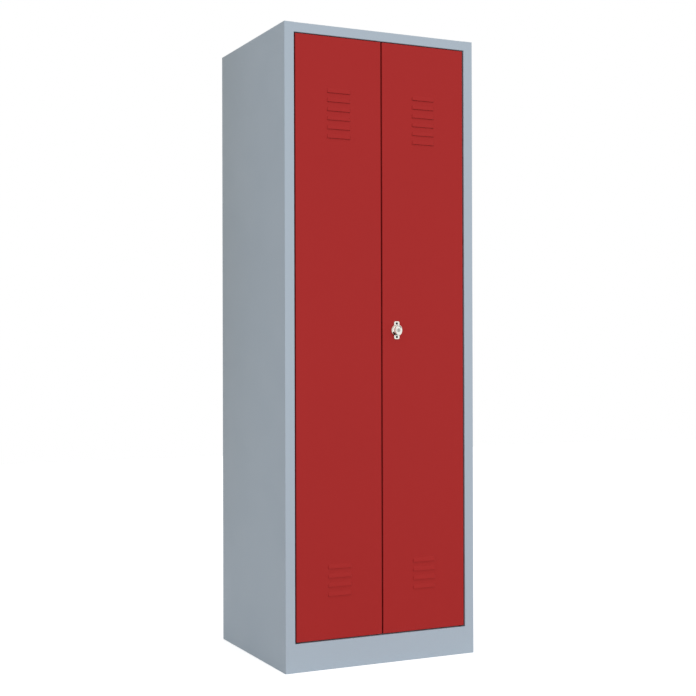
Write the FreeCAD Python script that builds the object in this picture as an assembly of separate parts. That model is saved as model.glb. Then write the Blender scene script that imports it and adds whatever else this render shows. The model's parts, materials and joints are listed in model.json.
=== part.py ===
import FreeCAD, Part
import math
import os

Vector = FreeCAD.Vector

# Two-door sheet-steel storage cabinet.
# Millimetres. The origin is on the floor under the middle of the box, +Z is up, +X is to the
# right as seen from the front, and the front faces -Y. The doors are modelled closed and unlocked.

# Outside size of the steel box
CABINET_W = 600.0
CABINET_D = 500.0
CABINET_H = 1800.0

# Sheet steel, its folds, and the clearances and overrun that all pieces share
SHEET = 0.8
BEND = 0.8
OVERRUN = 1.0
SEAT_FIT = 0.02
RUN_FIT = 0.05
LOOSE_FIT = 0.3

# Front frame: posts, header and plinth round the door opening
POST_W = 29.0
HEADER_H = 27.0
PLINTH_H = 80.0
POST_LIP = 12.0
STOP_H = 12.0

# Weld flanges and corner angles of the box
REAR_FLANGE = 20.0
FOOT_FLANGE = 15.0
CEILING_FLANGE = 15.0
FLANGE_RELIEF = 2.0
GUSSET_SIDE_LEG = 22.0
GUSSET_FRONT_LEG = 49.0

# Wall fixing holes in the back panel
WALL_HOLE_R = 4.5
WALL_HOLE_SPACING = 400.0
WALL_HOLE_DROP = 80.0

# Floor tray and centre partition
FLOOR_TRAY_T = 20.0
FLOOR_LIP = 10.0
MULLION_W = 30.0
MULLION_T = 12.0
PARTITION_FLANGE = 15.0

# Doors: pressed trays with a lip folded in round the back
DOOR_T = 20.0
DOOR_LIP = 14.0
DOOR_SETBACK = 1.0
TOP_GAP = 2.5
BOTTOM_GAP = 3.5
CENTRE_GAP = 4.0
STOP_GAP = 3.0

# Louvres: hoods pressed outwards, open below
LOUVRE_W = 72.0
LOUVRE_H = 12.0
LOUVRE_OUT = 2.5
LOUVRE_PITCH = 25.4
LOUVRE_SLOT_SHARE = 0.75
UPPER_LOUVRES = 6
UPPER_LOUVRE_DROP = 157.5
LOWER_LOUVRES = 4
LOWER_LOUVRE_RISE = 120.5

# Door stiffeners between the two louvre fields
STIFFENER_W = 50.0
STIFFENER_D = 14.0
STIFFENER_FLANGE = 14.0
STIFFENER_GAP = 40.0

# Hidden pivot hinges: fixed pins in nylon bushes on the doors
PIVOT_INSET = 7.0
PIVOT_DEPTH = 6.5
SWING_CLEAR = 2.1
PIN_R = 3.0
PIN_HEAD_R = 5.0
PIN_HEAD_T = 2.0
PIN_TAIL = 2.5
BUSH_R = 4.5
BUSH_L = 11.0
BUSH_FLANGE_R = 6.0
BUSH_TOP_CLEAR = 1.0

# Rubber buffers on the stops
BUFFER_R = 4.0
BUFFER_PLAY = 0.5
MULLION_BUFFER_SHARES = (0.2, 0.5, 0.8)

# Lock rods and hand bolts, round bars that run inside the doors
ROD_R = 4.0
ROD_DEPTH = 11.0
ROD_TUCK = 1.5
ROD_TIP = 1.0
ROD_HOLE_CLEAR = 0.4
STRIKE_CLEAR = 0.75

# Nylon guides of the rods and bolts, held by weld studs and nuts
GUIDE_W = 18.0
GUIDE_H = 16.0
GUIDE_WALL = 3.0
GUIDE_LUG_W = 42.0
GUIDE_LUG_T = 4.0
GUIDE_STUD_SPACING = 30.0
GUIDE_FROM_LOCK = 150.0
GUIDE_FROM_END = 60.0
STUD_R = 2.0
STUD_TAIL = 1.2
SMALL_NUT_AF = 7.0
SMALL_NUT_T = 3.2

# Hand bolts of the passive door
BOLT_L = 110.0
BOLT_INSET = 28.0
BOLT_TRAVEL = 18.0
BOLT_GUIDE_FIRST = 22.0
BOLT_GUIDE_SPACING = 66.0
FINGER_R = 3.5
FINGER_L = 18.0
FINGER_KNOB_R = 6.0
FINGER_KNOB_L = 5.0
FINGER_ROUND = 1.0

# Lock: place on the right door, rosette and its screws
LOCK_INSET = 44.5
LOCK_RISE = 865.0
ROSETTE_T = 3.0
ROSETTE_R = 16.5
ROSETTE_EAR_W = 17.0
ROSETTE_EAR_END = 6.3
ROSETTE_EAR_ROUND = 4.5
ROSETTE_NOTCH_ROUND = 4.0
ROSETTE_ROUND = 0.8
BOSS_BASE_R = 13.5
BOSS_TOP_R = 11.0
BOSS_H = 2.5
SCREW_RISE = 19.2
SCREW_R = 2.0
SCREW_HEAD_R = 3.2
SCREW_HEAD_T = 2.0
SCREW_SINK = 2.2
SCREW_SLOT_W = 0.9
SCREW_SLOT_D = 0.8

# Lock plate behind the door skin and the nylon bush that the spindle turns in
LOCK_PLATE_W = 44.0
LOCK_PLATE_H = 70.0
LOCK_PLATE_T = 2.0
KNOB_BUSH_R = 8.0
KNOB_BUSH_FLANGE_R = 11.0
KNOB_BUSH_FLANGE_T = 1.5

# Oval turn knob with a dished face and a key plug
KNOB_W = 22.0
KNOB_H = 30.0
KNOB_NECK_R = 8.0
KNOB_NECK_L = 3.7
KNOB_GRIP_T = 6.5
KNOB_RIM = 2.2
KNOB_RIM_ROUND = 1.0
KNOB_DISH = 1.2
KNOB_DISH_SLOPE = 1.5
KNOB_WEB = 1.0
KNOB_TURN_DEG = 90.0
PLUG_R = 5.5
PLUG_L = 5.8
PLUG_SET = 0.6
KEYWAY_W = 1.6
KEYWAY_H = 6.5
KEYWAY_D = 4.0

# Spindle, driver plate and crank pins that move the rods
SPINDLE_R = 5.0
SPINDLE_TAIL = 1.0
SPINDLE_NUT_AF = 16.0
SPINDLE_NUT_T = 5.0
DRIVER_GAP = 0.5
DRIVER_T = 4.0
DRIVER_WALL = 4.0
CRANK_R = 14.0
CRANK_PIN_R = 3.0
CRANK_PIN_TAIL = 1.0
CRANK_SLACK = 0.6
FORK_T = 4.0
FORK_ARM = 4.0
FORK_WALL = 4.0
FORK_SPINDLE_GAP = 1.5

# Shelves
SHELF_T = 25.0
SHELF_LIP = 12.0
SHELF_FRONT = 45.0
SHELF_BACK_GAP = 4.0
SHELF_SIDE_GAP = 1.0
HAT_SPACE = 310.0
HAT_RAIL_LEG = 20.0
HAT_RAIL_INSET = 20.0

# Slotted uprights and clips of the right compartment
UPRIGHT_W = 22.0
UPRIGHT_D = 7.0
UPRIGHT_INSET = 60.0
UPRIGHT_FOOT = 6.0
SLOT_PITCH = 50.0
SLOT_END = 25.0
SHELF_SLOT_SHARES = (0.25, 0.5, 0.75, 1.0)
CLIP_W = 12.0
CLIP_T = 2.0
CLIP_REACH = 14.0
CLIP_HOOK_T = 1.5
CLIP_HOOK_H = 6.0
CLIP_BRACE_H = 10.0

# Clothes rail of the left compartment
CLOTHES_RAIL_R = 11.0
CLOTHES_RAIL_WALL = 1.2
CLOTHES_RAIL_DROP = 60.0
SOCKET_FLANGE_R = 20.0
SOCKET_FLANGE_T = 2.5
SOCKET_WALL = 3.0
SOCKET_L = 16.0

# Levels and planes of the box
fold_r = BEND + SHEET
x_side = CABINET_W / 2
x_in = x_side - SHEET
y_front = -CABINET_D / 2
y_back = CABINET_D / 2
y_skin_back = y_front + SHEET
y_rear_out = y_back - SHEET
y_rear_in = y_rear_out - SHEET
z_ceiling = CABINET_H - SHEET
open_x = x_side - POST_W
open_z0 = PLINTH_H
open_z1 = CABINET_H - HEADER_H
z_floor = PLINTH_H + STOP_H

# Planes of the doors; the side gap lets a door's folded edge swing past its post
swing_r = math.hypot(PIVOT_INSET - fold_r, PIVOT_DEPTH - fold_r) + fold_r
side_gap = swing_r - PIVOT_INSET + SWING_CLEAR
door_x0 = CENTRE_GAP / 2
door_x1 = open_x - side_gap
door_xc = (door_x0 + door_x1) / 2
door_y0 = y_front + DOOR_SETBACK
door_y1 = door_y0 + DOOR_T
door_z0 = open_z0 + BOTTOM_GAP
door_z1 = open_z1 - TOP_GAP
skin_in = door_y0 + SHEET
y_stop = door_y1 + STOP_GAP
pivot_x = door_x1 - PIVOT_INSET
pivot_y = door_y0 + PIVOT_DEPTH

# Mouth heights of the louvres
lower_mouths = [door_z0 + LOWER_LOUVRE_RISE + k * LOUVRE_PITCH for k in range(LOWER_LOUVRES)]
upper_mouths = [door_z1 - UPPER_LOUVRE_DROP - k * LOUVRE_PITCH for k in range(UPPER_LOUVRES)]

# Lines and planes of the lock
lock_x = door_x0 + LOCK_INSET
lock_z = door_z0 + LOCK_RISE
rod_y = door_y0 + ROD_DEPTH
plate_back = skin_in + LOCK_PLATE_T
rosette_front = door_y0 - ROSETTE_T
boss_front = rosette_front - BOSS_H
neck_back = boss_front - LOOSE_FIT
grip_back = neck_back - KNOB_NECK_L
grip_front = grip_back - KNOB_GRIP_T
plug_front = grip_front + PLUG_SET
plug_back = plug_front + PLUG_L
driver_front = rod_y + ROD_R + DRIVER_GAP
driver_back = driver_front + DRIVER_T

# The cranks stand half a turn's angle before the level line at rest and as far past it when locked
crank_angle = math.radians(KNOB_TURN_DEG / 2)
crank_x = CRANK_R * math.cos(crank_angle)
crank_z = CRANK_R * math.sin(crank_angle)
rod_offset = (crank_x + CRANK_R) / 2
upper_rod_x = lock_x - rod_offset
lower_rod_x = lock_x + rod_offset
bolt_x = -(door_x0 + BOLT_INSET)

# Levels of the fittings
shelf_y0 = y_front + SHELF_FRONT
shelf_y1 = y_rear_in - SHELF_BACK_GAP
part_x = SHEET / 2
hat_top = z_ceiling - HAT_SPACE
hat_bottom = hat_top - SHELF_T


def box(x0, x1, y0, y1, z0, z1):
    return Part.makeBox(x1 - x0, y1 - y0, z1 - z0, Vector(x0, y0, z0))


def bar_x(x0, x1, y, z, r):
    return Part.makeCylinder(r, x1 - x0, Vector(x0, y, z), Vector(1, 0, 0))


def bar_y(x, y0, y1, z, r):
    return Part.makeCylinder(r, y1 - y0, Vector(x, y0, z), Vector(0, 1, 0))


def bar_z(x, y, z0, z1, r):
    return Part.makeCylinder(r, z1 - z0, Vector(x, y, z0), Vector(0, 0, 1))


def mirrored(shape, x=0.0):
    return shape.mirror(Vector(x, 0, 0), Vector(1, 0, 0))


def both_sides(shape):
    return Part.makeCompound([mirrored(shape), shape])


def rounded_box(x0, x1, y0, y1, z0, z1, r):
    block = box(x0, x1, y0, y1, z0, z1)
    return block.makeFillet(r, block.Edges)


def folded_edges(points, side, place):
    """Edges round a folded sheet's section; the points lie on one face, the sheet on their left or right."""
    near, far = [], []
    legs = [(b - a).normalize() for a, b in zip(points, points[1:])]
    normals = [Vector(-leg.y, leg.x, 0) for leg in legs]
    near.append((points[0],))
    far.append((points[0] + normals[0] * side * SHEET,))
    for i, corner in enumerate(points[1:-1]):
        before, after = legs[i], legs[i + 1]
        turn = math.copysign(1, before.x * after.y - before.y * after.x)
        near_r = fold_r if turn == side else BEND
        far_r = near_r - turn * side * SHEET
        centre = corner + (normals[i] + normals[i + 1]) * turn * near_r
        middle = (corner - centre).normalize()
        starts = centre - normals[i] * turn * near_r, centre - normals[i] * turn * far_r
        ends = centre - normals[i + 1] * turn * near_r, centre - normals[i + 1] * turn * far_r
        near.append((starts[0], centre + middle * near_r, ends[0]))
        far.append((starts[1], centre + middle * far_r, ends[1]))
    near.append((points[-1],))
    far.append((points[-1] + normals[-1] * side * SHEET,))
    run = near + [stretch[::-1] for stretch in reversed(far)]
    edges = []
    for stretch, following in zip(run, run[1:] + run[:1]):
        if len(stretch) > 1:
            edges.append(Part.Arc(*[place(p) for p in stretch]).toShape())
        edges.append(Part.LineSegment(place(stretch[-1]), place(following[0])).toShape())
    return edges


def folded_sheet(points, side, place, along):
    """A sheet folded square at each inner point of its section and drawn out along one vector."""
    corners = [Vector(a, b, 0) for a, b in points]
    return Part.Face(Part.Wire(folded_edges(corners, side, place))).extrude(along)


def upright_fold(points, side, z0, z1):
    return folded_sheet(points, side, lambda p: Vector(p.x, p.y, z0), Vector(0, 0, z1 - z0))


def level_fold(points, side, x0, x1):
    return folded_sheet(points, side, lambda p: Vector(x0, p.x, p.y), Vector(x1 - x0, 0, 0))


def deep_fold(points, side, y0, y1):
    return folded_sheet(points, side, lambda p: Vector(p.x, y0, p.y), Vector(0, y1 - y0, 0))


def tray(x0, x1, y0, y1, z0, z1, lip, mouth):
    """A pressed tray with rounded folds and a lip round its mouth, at the back or below."""
    outer = rounded_box(x0, x1, y0, y1, z0, z1, fold_r)
    inner = rounded_box(x0 + SHEET, x1 - SHEET, y0 + SHEET, y1 - SHEET, z0 + SHEET, z1 - SHEET, BEND)
    if mouth == "back":
        gap = box(x0 + lip, x1 - lip, y1 - SHEET - OVERRUN, y1 + OVERRUN, z0 + lip, z1 - lip)
    else:
        gap = box(x0 + lip, x1 - lip, y0 + lip, y1 - lip, z0 - OVERRUN, z0 + SHEET + OVERRUN)
    return outer.cut([inner, gap])


def hex_nut(x, y0, y1, z, across_flats, bore_r):
    corner_r = across_flats / math.sqrt(3)
    angles = [math.radians(60 * k) for k in range(7)]
    corners = [Vector(x + corner_r * math.cos(a), y0, z + corner_r * math.sin(a)) for a in angles]
    prism = Part.Face(Part.makePolygon(corners)).extrude(Vector(0, y1 - y0, 0))
    return prism.cut(bar_y(x, y0 - OVERRUN, y1 + OVERRUN, z, bore_r))


# Steel box

def side_panel():
    """Right side: side sheet, front post, post return along the opening, and its weld flanges."""
    sheet_line = [(x_side - REAR_FLANGE, y_back), (x_side, y_back), (x_side, y_front), (open_x, y_front)]
    post_line = sheet_line + [(open_x, y_stop), (open_x + POST_LIP, y_stop)]
    flange_y0 = y_front + FOOT_FLANGE + FLANGE_RELIEF
    flange_y1 = y_rear_out - max(FOOT_FLANGE, CEILING_FLANGE) - FLANGE_RELIEF
    foot = box(x_side - FOOT_FLANGE, x_side, flange_y0, flange_y1, 0, SHEET)
    ceiling = box(x_side - CEILING_FLANGE, x_in, flange_y0, flange_y1, z_ceiling - SHEET, z_ceiling)
    panel = upright_fold(post_line, -1, open_z0, open_z1).fuse([
        upright_fold(sheet_line, -1, 0, open_z0),
        upright_fold(sheet_line, -1, open_z1, CABINET_H),
        foot,
        ceiling,
    ])
    return panel.removeSplitter()


def pivot_holes(z0, z1):
    return [bar_z(x, pivot_y, z0, z1, PIN_R + SEAT_FIT) for x in (-pivot_x, pivot_x)]


def strike_holes(places, z0, z1):
    return [bar_z(x, rod_y, z0, z1, ROD_R + STRIKE_CLEAR) for x in places]


def top_panel():
    """Top sheet and header in one: stop lip, header return, header face and top."""
    line = [
        (y_stop, open_z1 - STOP_H),
        (y_stop, open_z1),
        (y_front, open_z1),
        (y_front, CABINET_H),
        (y_rear_out, CABINET_H),
    ]
    wing = box(open_x, x_in, y_skin_back, y_rear_out, z_ceiling, CABINET_H)
    outer_edges = [edge for edge in wing.Edges if abs(edge.CenterOfMass.x - x_in) < SEAT_FIT]
    wing = wing.makeFillet(BEND, [edge for edge in outer_edges if edge.Length < fold_r])
    panel = level_fold(line, -1, -open_x, open_x).fuse([wing, mirrored(wing)]).removeSplitter()
    hole_z0, hole_z1 = open_z1 - OVERRUN, open_z1 + SHEET + OVERRUN
    return panel.cut(pivot_holes(hole_z0, hole_z1) + strike_holes((bolt_x, upper_rod_x), hole_z0, hole_z1))


def plinth_front():
    """Plinth: foot flange, face, sill under the doors and the stop lip behind them."""
    line = [
        (y_front + FOOT_FLANGE, 0),
        (y_front, 0),
        (y_front, open_z0),
        (y_stop, open_z0),
        (y_stop, z_floor),
    ]
    hole_z0, hole_z1 = open_z0 - SHEET - OVERRUN, open_z0 + OVERRUN
    holes = pivot_holes(hole_z0, hole_z1) + strike_holes((bolt_x, lower_rod_x), hole_z0, hole_z1)
    return level_fold(line, -1, -open_x, open_x).cut(holes)


def back_panel():
    line = [
        (y_rear_out - FOOT_FLANGE, 0),
        (y_rear_out, 0),
        (y_rear_out, z_ceiling),
        (y_rear_out - CEILING_FLANGE, z_ceiling),
    ]
    hole_z = CABINET_H - WALL_HOLE_DROP
    holes = [
        bar_y(x, y_rear_in - OVERRUN, y_rear_out + OVERRUN, hole_z, WALL_HOLE_R)
        for x in (-WALL_HOLE_SPACING / 2, WALL_HOLE_SPACING / 2)
    ]
    edge_x = x_in - BEND
    return level_fold(line, 1, -edge_x, edge_x).cut(holes)


def floor_tray():
    return tray(-x_in, x_in, y_stop + SHEET, y_rear_in, z_floor - FLOOR_TRAY_T, z_floor, FLOOR_LIP, "below")


def centre_partition():
    """Partition with a box-shaped mullion at the front and a weld flange at the back."""
    half = MULLION_W / 2
    mullion_back = y_stop + MULLION_T
    line = [
        (-half, mullion_back),
        (-half, y_stop),
        (half, y_stop),
        (half, mullion_back),
        (part_x, mullion_back),
        (part_x, y_rear_in - SHEET),
        (part_x + PARTITION_FLANGE, y_rear_in - SHEET),
    ]
    mullion_top = open_z1 - STOP_H
    head = box(-part_x, part_x, mullion_back + fold_r, y_rear_in - fold_r, mullion_top, z_ceiling - SHEET)
    return upright_fold(line, 1, z_floor, mullion_top).fuse(head).removeSplitter()


def gussets(z0, z1):
    """Angles inside the two front corners that tie the front frame to the sides."""
    line = [
        (x_in, y_skin_back + GUSSET_SIDE_LEG),
        (x_in, y_skin_back),
        (x_in - GUSSET_FRONT_LEG, y_skin_back),
    ]
    return both_sides(upright_fold(line, -1, z0, z1))


def top_pivot_pins():
    head_z = open_z1 + SHEET
    pin = bar_z(pivot_x, pivot_y, door_z1 - BUSH_L - PIN_TAIL, head_z, PIN_R)
    return both_sides(pin.fuse(bar_z(pivot_x, pivot_y, head_z, head_z + PIN_HEAD_T, PIN_HEAD_R)))


def bottom_pivot_pins():
    head_z = open_z0 - SHEET
    pin = bar_z(pivot_x, pivot_y, head_z, door_z0 + BUSH_L + PIN_TAIL, PIN_R)
    return both_sides(pin.fuse(bar_z(pivot_x, pivot_y, head_z - PIN_HEAD_T, head_z, PIN_HEAD_R)))


def door_buffers():
    """Rubber buttons on the header's and plinth's stop lips and on the mullion."""
    places = [(door_xc, open_z1 - STOP_H / 2), (door_xc, open_z0 + STOP_H / 2)]
    for share in MULLION_BUFFER_SHARES:
        places.append((door_x0 + DOOR_LIP / 2, door_z0 + share * (door_z1 - door_z0)))
    face = y_stop - STOP_GAP + BUFFER_PLAY
    buttons = [bar_y(side * x, face, y_stop, z, BUFFER_R) for x, z in places for side in (-1, 1)]
    return Part.makeCompound(buttons)


# Shelves and rails inside the box

def hat_shelf():
    x0, x1 = -x_in + SHELF_SIDE_GAP, -part_x - SHELF_SIDE_GAP
    return tray(x0, x1, shelf_y0, shelf_y1, hat_bottom, hat_top, SHELF_LIP, "below")


def hat_shelf_rails():
    line = [(-x_in, hat_bottom - HAT_RAIL_LEG), (-x_in, hat_bottom), (-x_in + HAT_RAIL_LEG, hat_bottom)]
    rail = deep_fold(line, -1, shelf_y0 + HAT_RAIL_INSET, shelf_y1 - HAT_RAIL_INSET)
    return Part.makeCompound([rail, mirrored(rail, -(x_in + part_x) / 2)])


clothes_rail_y = (shelf_y0 + shelf_y1) / 2
clothes_rail_z = hat_bottom - CLOTHES_RAIL_DROP


def clothes_rail():
    x0, x1 = -x_in + SOCKET_FLANGE_T, -part_x - SOCKET_FLANGE_T
    tube = bar_x(x0, x1, clothes_rail_y, clothes_rail_z, CLOTHES_RAIL_R)
    bore_r = CLOTHES_RAIL_R - CLOTHES_RAIL_WALL
    return tube.cut(bar_x(x0 - OVERRUN, x1 + OVERRUN, clothes_rail_y, clothes_rail_z, bore_r))


def rail_sockets():
    x0, x1 = -x_in, -x_in + SOCKET_FLANGE_T
    cup_r = CLOTHES_RAIL_R + SEAT_FIT + SOCKET_WALL
    flange = bar_x(x0, x1, clothes_rail_y, clothes_rail_z, SOCKET_FLANGE_R)
    cup = bar_x(x0, x0 + SOCKET_L, clothes_rail_y, clothes_rail_z, cup_r)
    bore = bar_x(x1, x0 + SOCKET_L + OVERRUN, clothes_rail_y, clothes_rail_z, CLOTHES_RAIL_R + SEAT_FIT)
    socket = flange.fuse(cup).cut(bore)
    return Part.makeCompound([socket, mirrored(socket, -(x_in + part_x) / 2)])


upright_ys = (shelf_y0 + UPRIGHT_INSET, shelf_y1 - UPRIGHT_INSET)
upright_z0 = z_floor + UPRIGHT_FOOT
upright_web = x_in - UPRIGHT_D
right_bay_x = (x_in + part_x) / 2
slot_count = 1 + int((hat_top - upright_z0 - 2 * SLOT_END) / SLOT_PITCH)
slot_zs = [upright_z0 + SLOT_END + k * SLOT_PITCH for k in range(slot_count)]
shelf_slot_zs = [slot_zs[round(share * (slot_count - 1))] for share in SHELF_SLOT_SHARES]


def shelf_uprights():
    """Four slotted channels, two on the side and two on the partition."""
    uprights = []
    for y in upright_ys:
        line = [
            (x_in, y - UPRIGHT_W / 2),
            (upright_web, y - UPRIGHT_W / 2),
            (upright_web, y + UPRIGHT_W / 2),
            (x_in, y + UPRIGHT_W / 2),
        ]
        half = CLIP_W / 2 + LOOSE_FIT
        slot_x0, slot_x1 = upright_web - OVERRUN, upright_web + SHEET + OVERRUN
        slot_h = CLIP_T + LOOSE_FIT
        slots = [box(slot_x0, slot_x1, y - half, y + half, z, z + slot_h) for z in slot_zs]
        channel = upright_fold(line, -1, upright_z0, slot_zs[-1] + SLOT_END).cut(slots)
        uprights += [channel, mirrored(channel, right_bay_x)]
    return Part.makeCompound(uprights)


def shelf_clips():
    """Hooked clips: a tongue through the slot, a hook behind the web, a brace and a tab in front."""
    clips = []
    for z in shelf_slot_zs:
        for y in upright_ys:
            y0, y1 = y - CLIP_W / 2, y + CLIP_W / 2
            hook_x = upright_web + SHEET
            tongue = box(upright_web - CLIP_REACH, hook_x + CLIP_HOOK_T, y0, y1, z, z + CLIP_T)
            hook = box(hook_x, hook_x + CLIP_HOOK_T, y0, y1, z - CLIP_HOOK_H, z)
            brace = box(upright_web - CLIP_T, upright_web, y0, y1, z - CLIP_BRACE_H, z)
            clip = tongue.fuse([hook, brace]).removeSplitter()
            clips += [clip, mirrored(clip, right_bay_x)]
    return Part.makeCompound(clips)


def shelf(z):
    x0 = part_x + UPRIGHT_D + SHELF_SIDE_GAP
    x1 = upright_web - SHELF_SIDE_GAP
    return tray(x0, x1, shelf_y0, shelf_y1, z, z + SHELF_T, SHELF_LIP, "below")


# Doors

hood_r = (LOUVRE_H**2 + LOUVRE_OUT**2) / (2 * LOUVRE_OUT)
hood_back = hood_r - LOUVRE_OUT
louvre_run = LOUVRE_W - 2 * LOUVRE_OUT


def hood(mouth_z, inset):
    """The solid under a louvre's hood, smaller by the inset: a straight run with quarter-dome ends."""
    arc_r = hood_r - inset
    rise = math.asin(math.sqrt(arc_r**2 - hood_back**2) / arc_r)
    x0, x1 = door_xc - louvre_run / 2, door_xc + louvre_run / 2

    def on_arc(angle):
        return Vector(x0, door_y0 + hood_back - arc_r * math.cos(angle), mouth_z + arc_r * math.sin(angle))

    foot = Vector(x0, door_y0, mouth_z)
    outline = Part.Wire([
        Part.LineSegment(foot, on_arc(0)).toShape(),
        Part.Arc(on_arc(0), on_arc(rise / 2), on_arc(rise)).toShape(),
        Part.LineSegment(on_arc(rise), foot).toShape(),
    ])
    section = Part.Face(outline)
    run = section.extrude(Vector(louvre_run, 0, 0))
    near_end = section.revolve(foot, Vector(0, 0, -1), 90)
    far_end = mirrored(near_end, door_xc)
    return run.fuse([near_end, far_end])


def door_panel():
    """Right door's tray with its louvres and the holes for its hinge bushes."""
    panel = tray(door_x0, door_x1, door_y0, door_y1, door_z0, door_z1, DOOR_LIP, "back")
    mouths = lower_mouths + upper_mouths
    slot_h = LOUVRE_SLOT_SHARE * math.sqrt((hood_r - SHEET)**2 - hood_back**2)
    x0, x1 = door_xc - louvre_run / 2, door_xc + louvre_run / 2
    slot_reach = (LOUVRE_OUT - SHEET) * (1 - LOUVRE_SLOT_SHARE**2) / 2
    slots = [box(x0, x1, door_y0 - slot_reach, skin_in + OVERRUN, z, z + slot_h) for z in mouths]
    panel = panel.fuse([hood(z, 0) for z in mouths])
    panel = panel.cut([hood(z, SHEET) for z in mouths] + slots)
    hole_half = SHEET + OVERRUN
    bush_holes = [
        bar_z(pivot_x, pivot_y, z - hole_half, z + hole_half, BUSH_R + SEAT_FIT)
        for z in (door_z0, door_z1)
    ]
    return panel.cut(bush_holes).removeSplitter()


def rod_hole(x, z):
    return bar_z(x, rod_y, z - SHEET - OVERRUN, z + SHEET + OVERRUN, ROD_R + ROD_HOLE_CLEAR)


def left_door_panel(panel):
    return mirrored(panel).cut([rod_hole(bolt_x, door_z0), rod_hole(bolt_x, door_z1)])


def screw_zs():
    return lock_z - SCREW_RISE, lock_z + SCREW_RISE


def right_door_panel(panel):
    hole_y0, hole_y1 = door_y0 - OVERRUN, skin_in + OVERRUN
    holes = [bar_y(lock_x, hole_y0, hole_y1, z, SCREW_R + RUN_FIT) for z in screw_zs()]
    holes.append(bar_y(lock_x, hole_y0, hole_y1, lock_z, KNOB_BUSH_R + SEAT_FIT))
    return panel.cut(holes + [rod_hole(lower_rod_x, door_z0), rod_hole(upper_rod_x, door_z1)])


def door_stiffener():
    """Hat-shaped stiffener welded behind the right door's skin, between the louvre fields."""
    x0, x1 = door_xc - STIFFENER_W / 2, door_xc + STIFFENER_W / 2
    web_y = skin_in + STIFFENER_D - SHEET
    line = [
        (x0 - STIFFENER_FLANGE, skin_in),
        (x0, skin_in),
        (x0, web_y),
        (x1, web_y),
        (x1, skin_in),
        (x1 + STIFFENER_FLANGE, skin_in),
    ]
    z0 = lower_mouths[-1] + LOUVRE_H + STIFFENER_GAP
    z1 = upper_mouths[-1] - STIFFENER_GAP
    return upright_fold(line, 1, z0, z1)


def door_bushes():
    """Right door's two flanged nylon bushes; the lower flange carries the door on the sill."""
    top = bar_z(pivot_x, pivot_y, door_z1 - BUSH_L, door_z1, BUSH_R)
    top = top.fuse(bar_z(pivot_x, pivot_y, door_z1, open_z1 - BUSH_TOP_CLEAR, BUSH_FLANGE_R))
    low = bar_z(pivot_x, pivot_y, door_z0, door_z0 + BUSH_L, BUSH_R)
    low = low.fuse(bar_z(pivot_x, pivot_y, open_z0 + LOOSE_FIT, door_z0, BUSH_FLANGE_R))
    bore = bar_z(pivot_x, pivot_y, open_z0, open_z1, PIN_R + RUN_FIT)
    return Part.makeCompound([top.cut(bore), low.cut(bore)])


# Guides, bolts and rods

def guide(x, z):
    """Nylon block with a bored hole for a rod and a lug each side for its weld stud."""
    z0, z1 = z - GUIDE_H / 2, z + GUIDE_H / 2
    block_back = rod_y + ROD_R + GUIDE_WALL
    block = box(x - GUIDE_W / 2, x + GUIDE_W / 2, skin_in, block_back, z0, z1)
    edges = [edge for edge in block.Edges if abs(edge.CenterOfMass.y - block_back) < SEAT_FIT]
    block = block.makeFillet(GUIDE_WALL / 2, edges)
    lug_back = skin_in + GUIDE_LUG_T
    lugs = box(x - GUIDE_LUG_W / 2, x + GUIDE_LUG_W / 2, skin_in, lug_back, z0, z1)
    bore = bar_z(x, rod_y, z0 - OVERRUN, z1 + OVERRUN, ROD_R + RUN_FIT)
    stud_xs = x - GUIDE_STUD_SPACING / 2, x + GUIDE_STUD_SPACING / 2
    hole_y0, hole_y1 = skin_in - OVERRUN, lug_back + OVERRUN
    stud_holes = [bar_y(stud_x, hole_y0, hole_y1, z, STUD_R + RUN_FIT) for stud_x in stud_xs]
    return block.fuse(lugs).removeSplitter().cut([bore] + stud_holes)


def guide_fixings(x, z):
    """The weld stud and nut on each side of a guide."""
    seat = skin_in + GUIDE_LUG_T
    pieces = []
    for side in (-1, 1):
        stud_x = x + side * GUIDE_STUD_SPACING / 2
        pieces.append(bar_y(stud_x, skin_in, seat + SMALL_NUT_T + STUD_TAIL, z, STUD_R))
        pieces.append(hex_nut(stud_x, seat, seat + SMALL_NUT_T, z, SMALL_NUT_AF, STUD_R + SEAT_FIT))
    return pieces


def tipped_bar(x, z_root, z_tip):
    """A round bar along Z with its tip chamfered."""
    z0, z1 = min(z_root, z_tip), max(z_root, z_tip)
    bar = bar_z(x, rod_y, z0, z1, ROD_R)
    rim = [edge for edge in bar.Edges if abs(edge.CenterOfMass.z - z_tip) < SEAT_FIT and edge.Closed]
    return bar.makeChamfer(ROD_TIP, rim)


def bolt(edge_z, up):
    """A hand bolt: bar with a finger knob, drawn back inside the passive door."""
    tip = edge_z - up * ROD_TUCK
    middle = edge_z - up * (BOLT_GUIDE_FIRST + BOLT_GUIDE_SPACING / 2)
    finger_z = middle - up * BOLT_TRAVEL / 2
    finger_y = rod_y + FINGER_L
    knob = bar_y(bolt_x, finger_y - FINGER_KNOB_L, finger_y, finger_z, FINGER_KNOB_R)
    knob = knob.makeFillet(FINGER_ROUND, [edge for edge in knob.Edges if edge.Closed])
    finger = bar_y(bolt_x, rod_y, finger_y - FINGER_KNOB_L / 2, finger_z, FINGER_R)
    return tipped_bar(bolt_x, tip - up * BOLT_L, tip).fuse([finger, knob])


def bolt_guide_zs():
    drops = BOLT_GUIDE_FIRST, BOLT_GUIDE_FIRST + BOLT_GUIDE_SPACING
    return [door_z1 - drop for drop in drops] + [door_z0 + drop for drop in drops]


def rod_guide_places():
    upper = lock_z + GUIDE_FROM_LOCK, door_z1 - GUIDE_FROM_END
    lower = lock_z - GUIDE_FROM_LOCK, door_z0 + GUIDE_FROM_END
    return [(upper_rod_x, z) for z in upper] + [(lower_rod_x, z) for z in lower]


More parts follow.
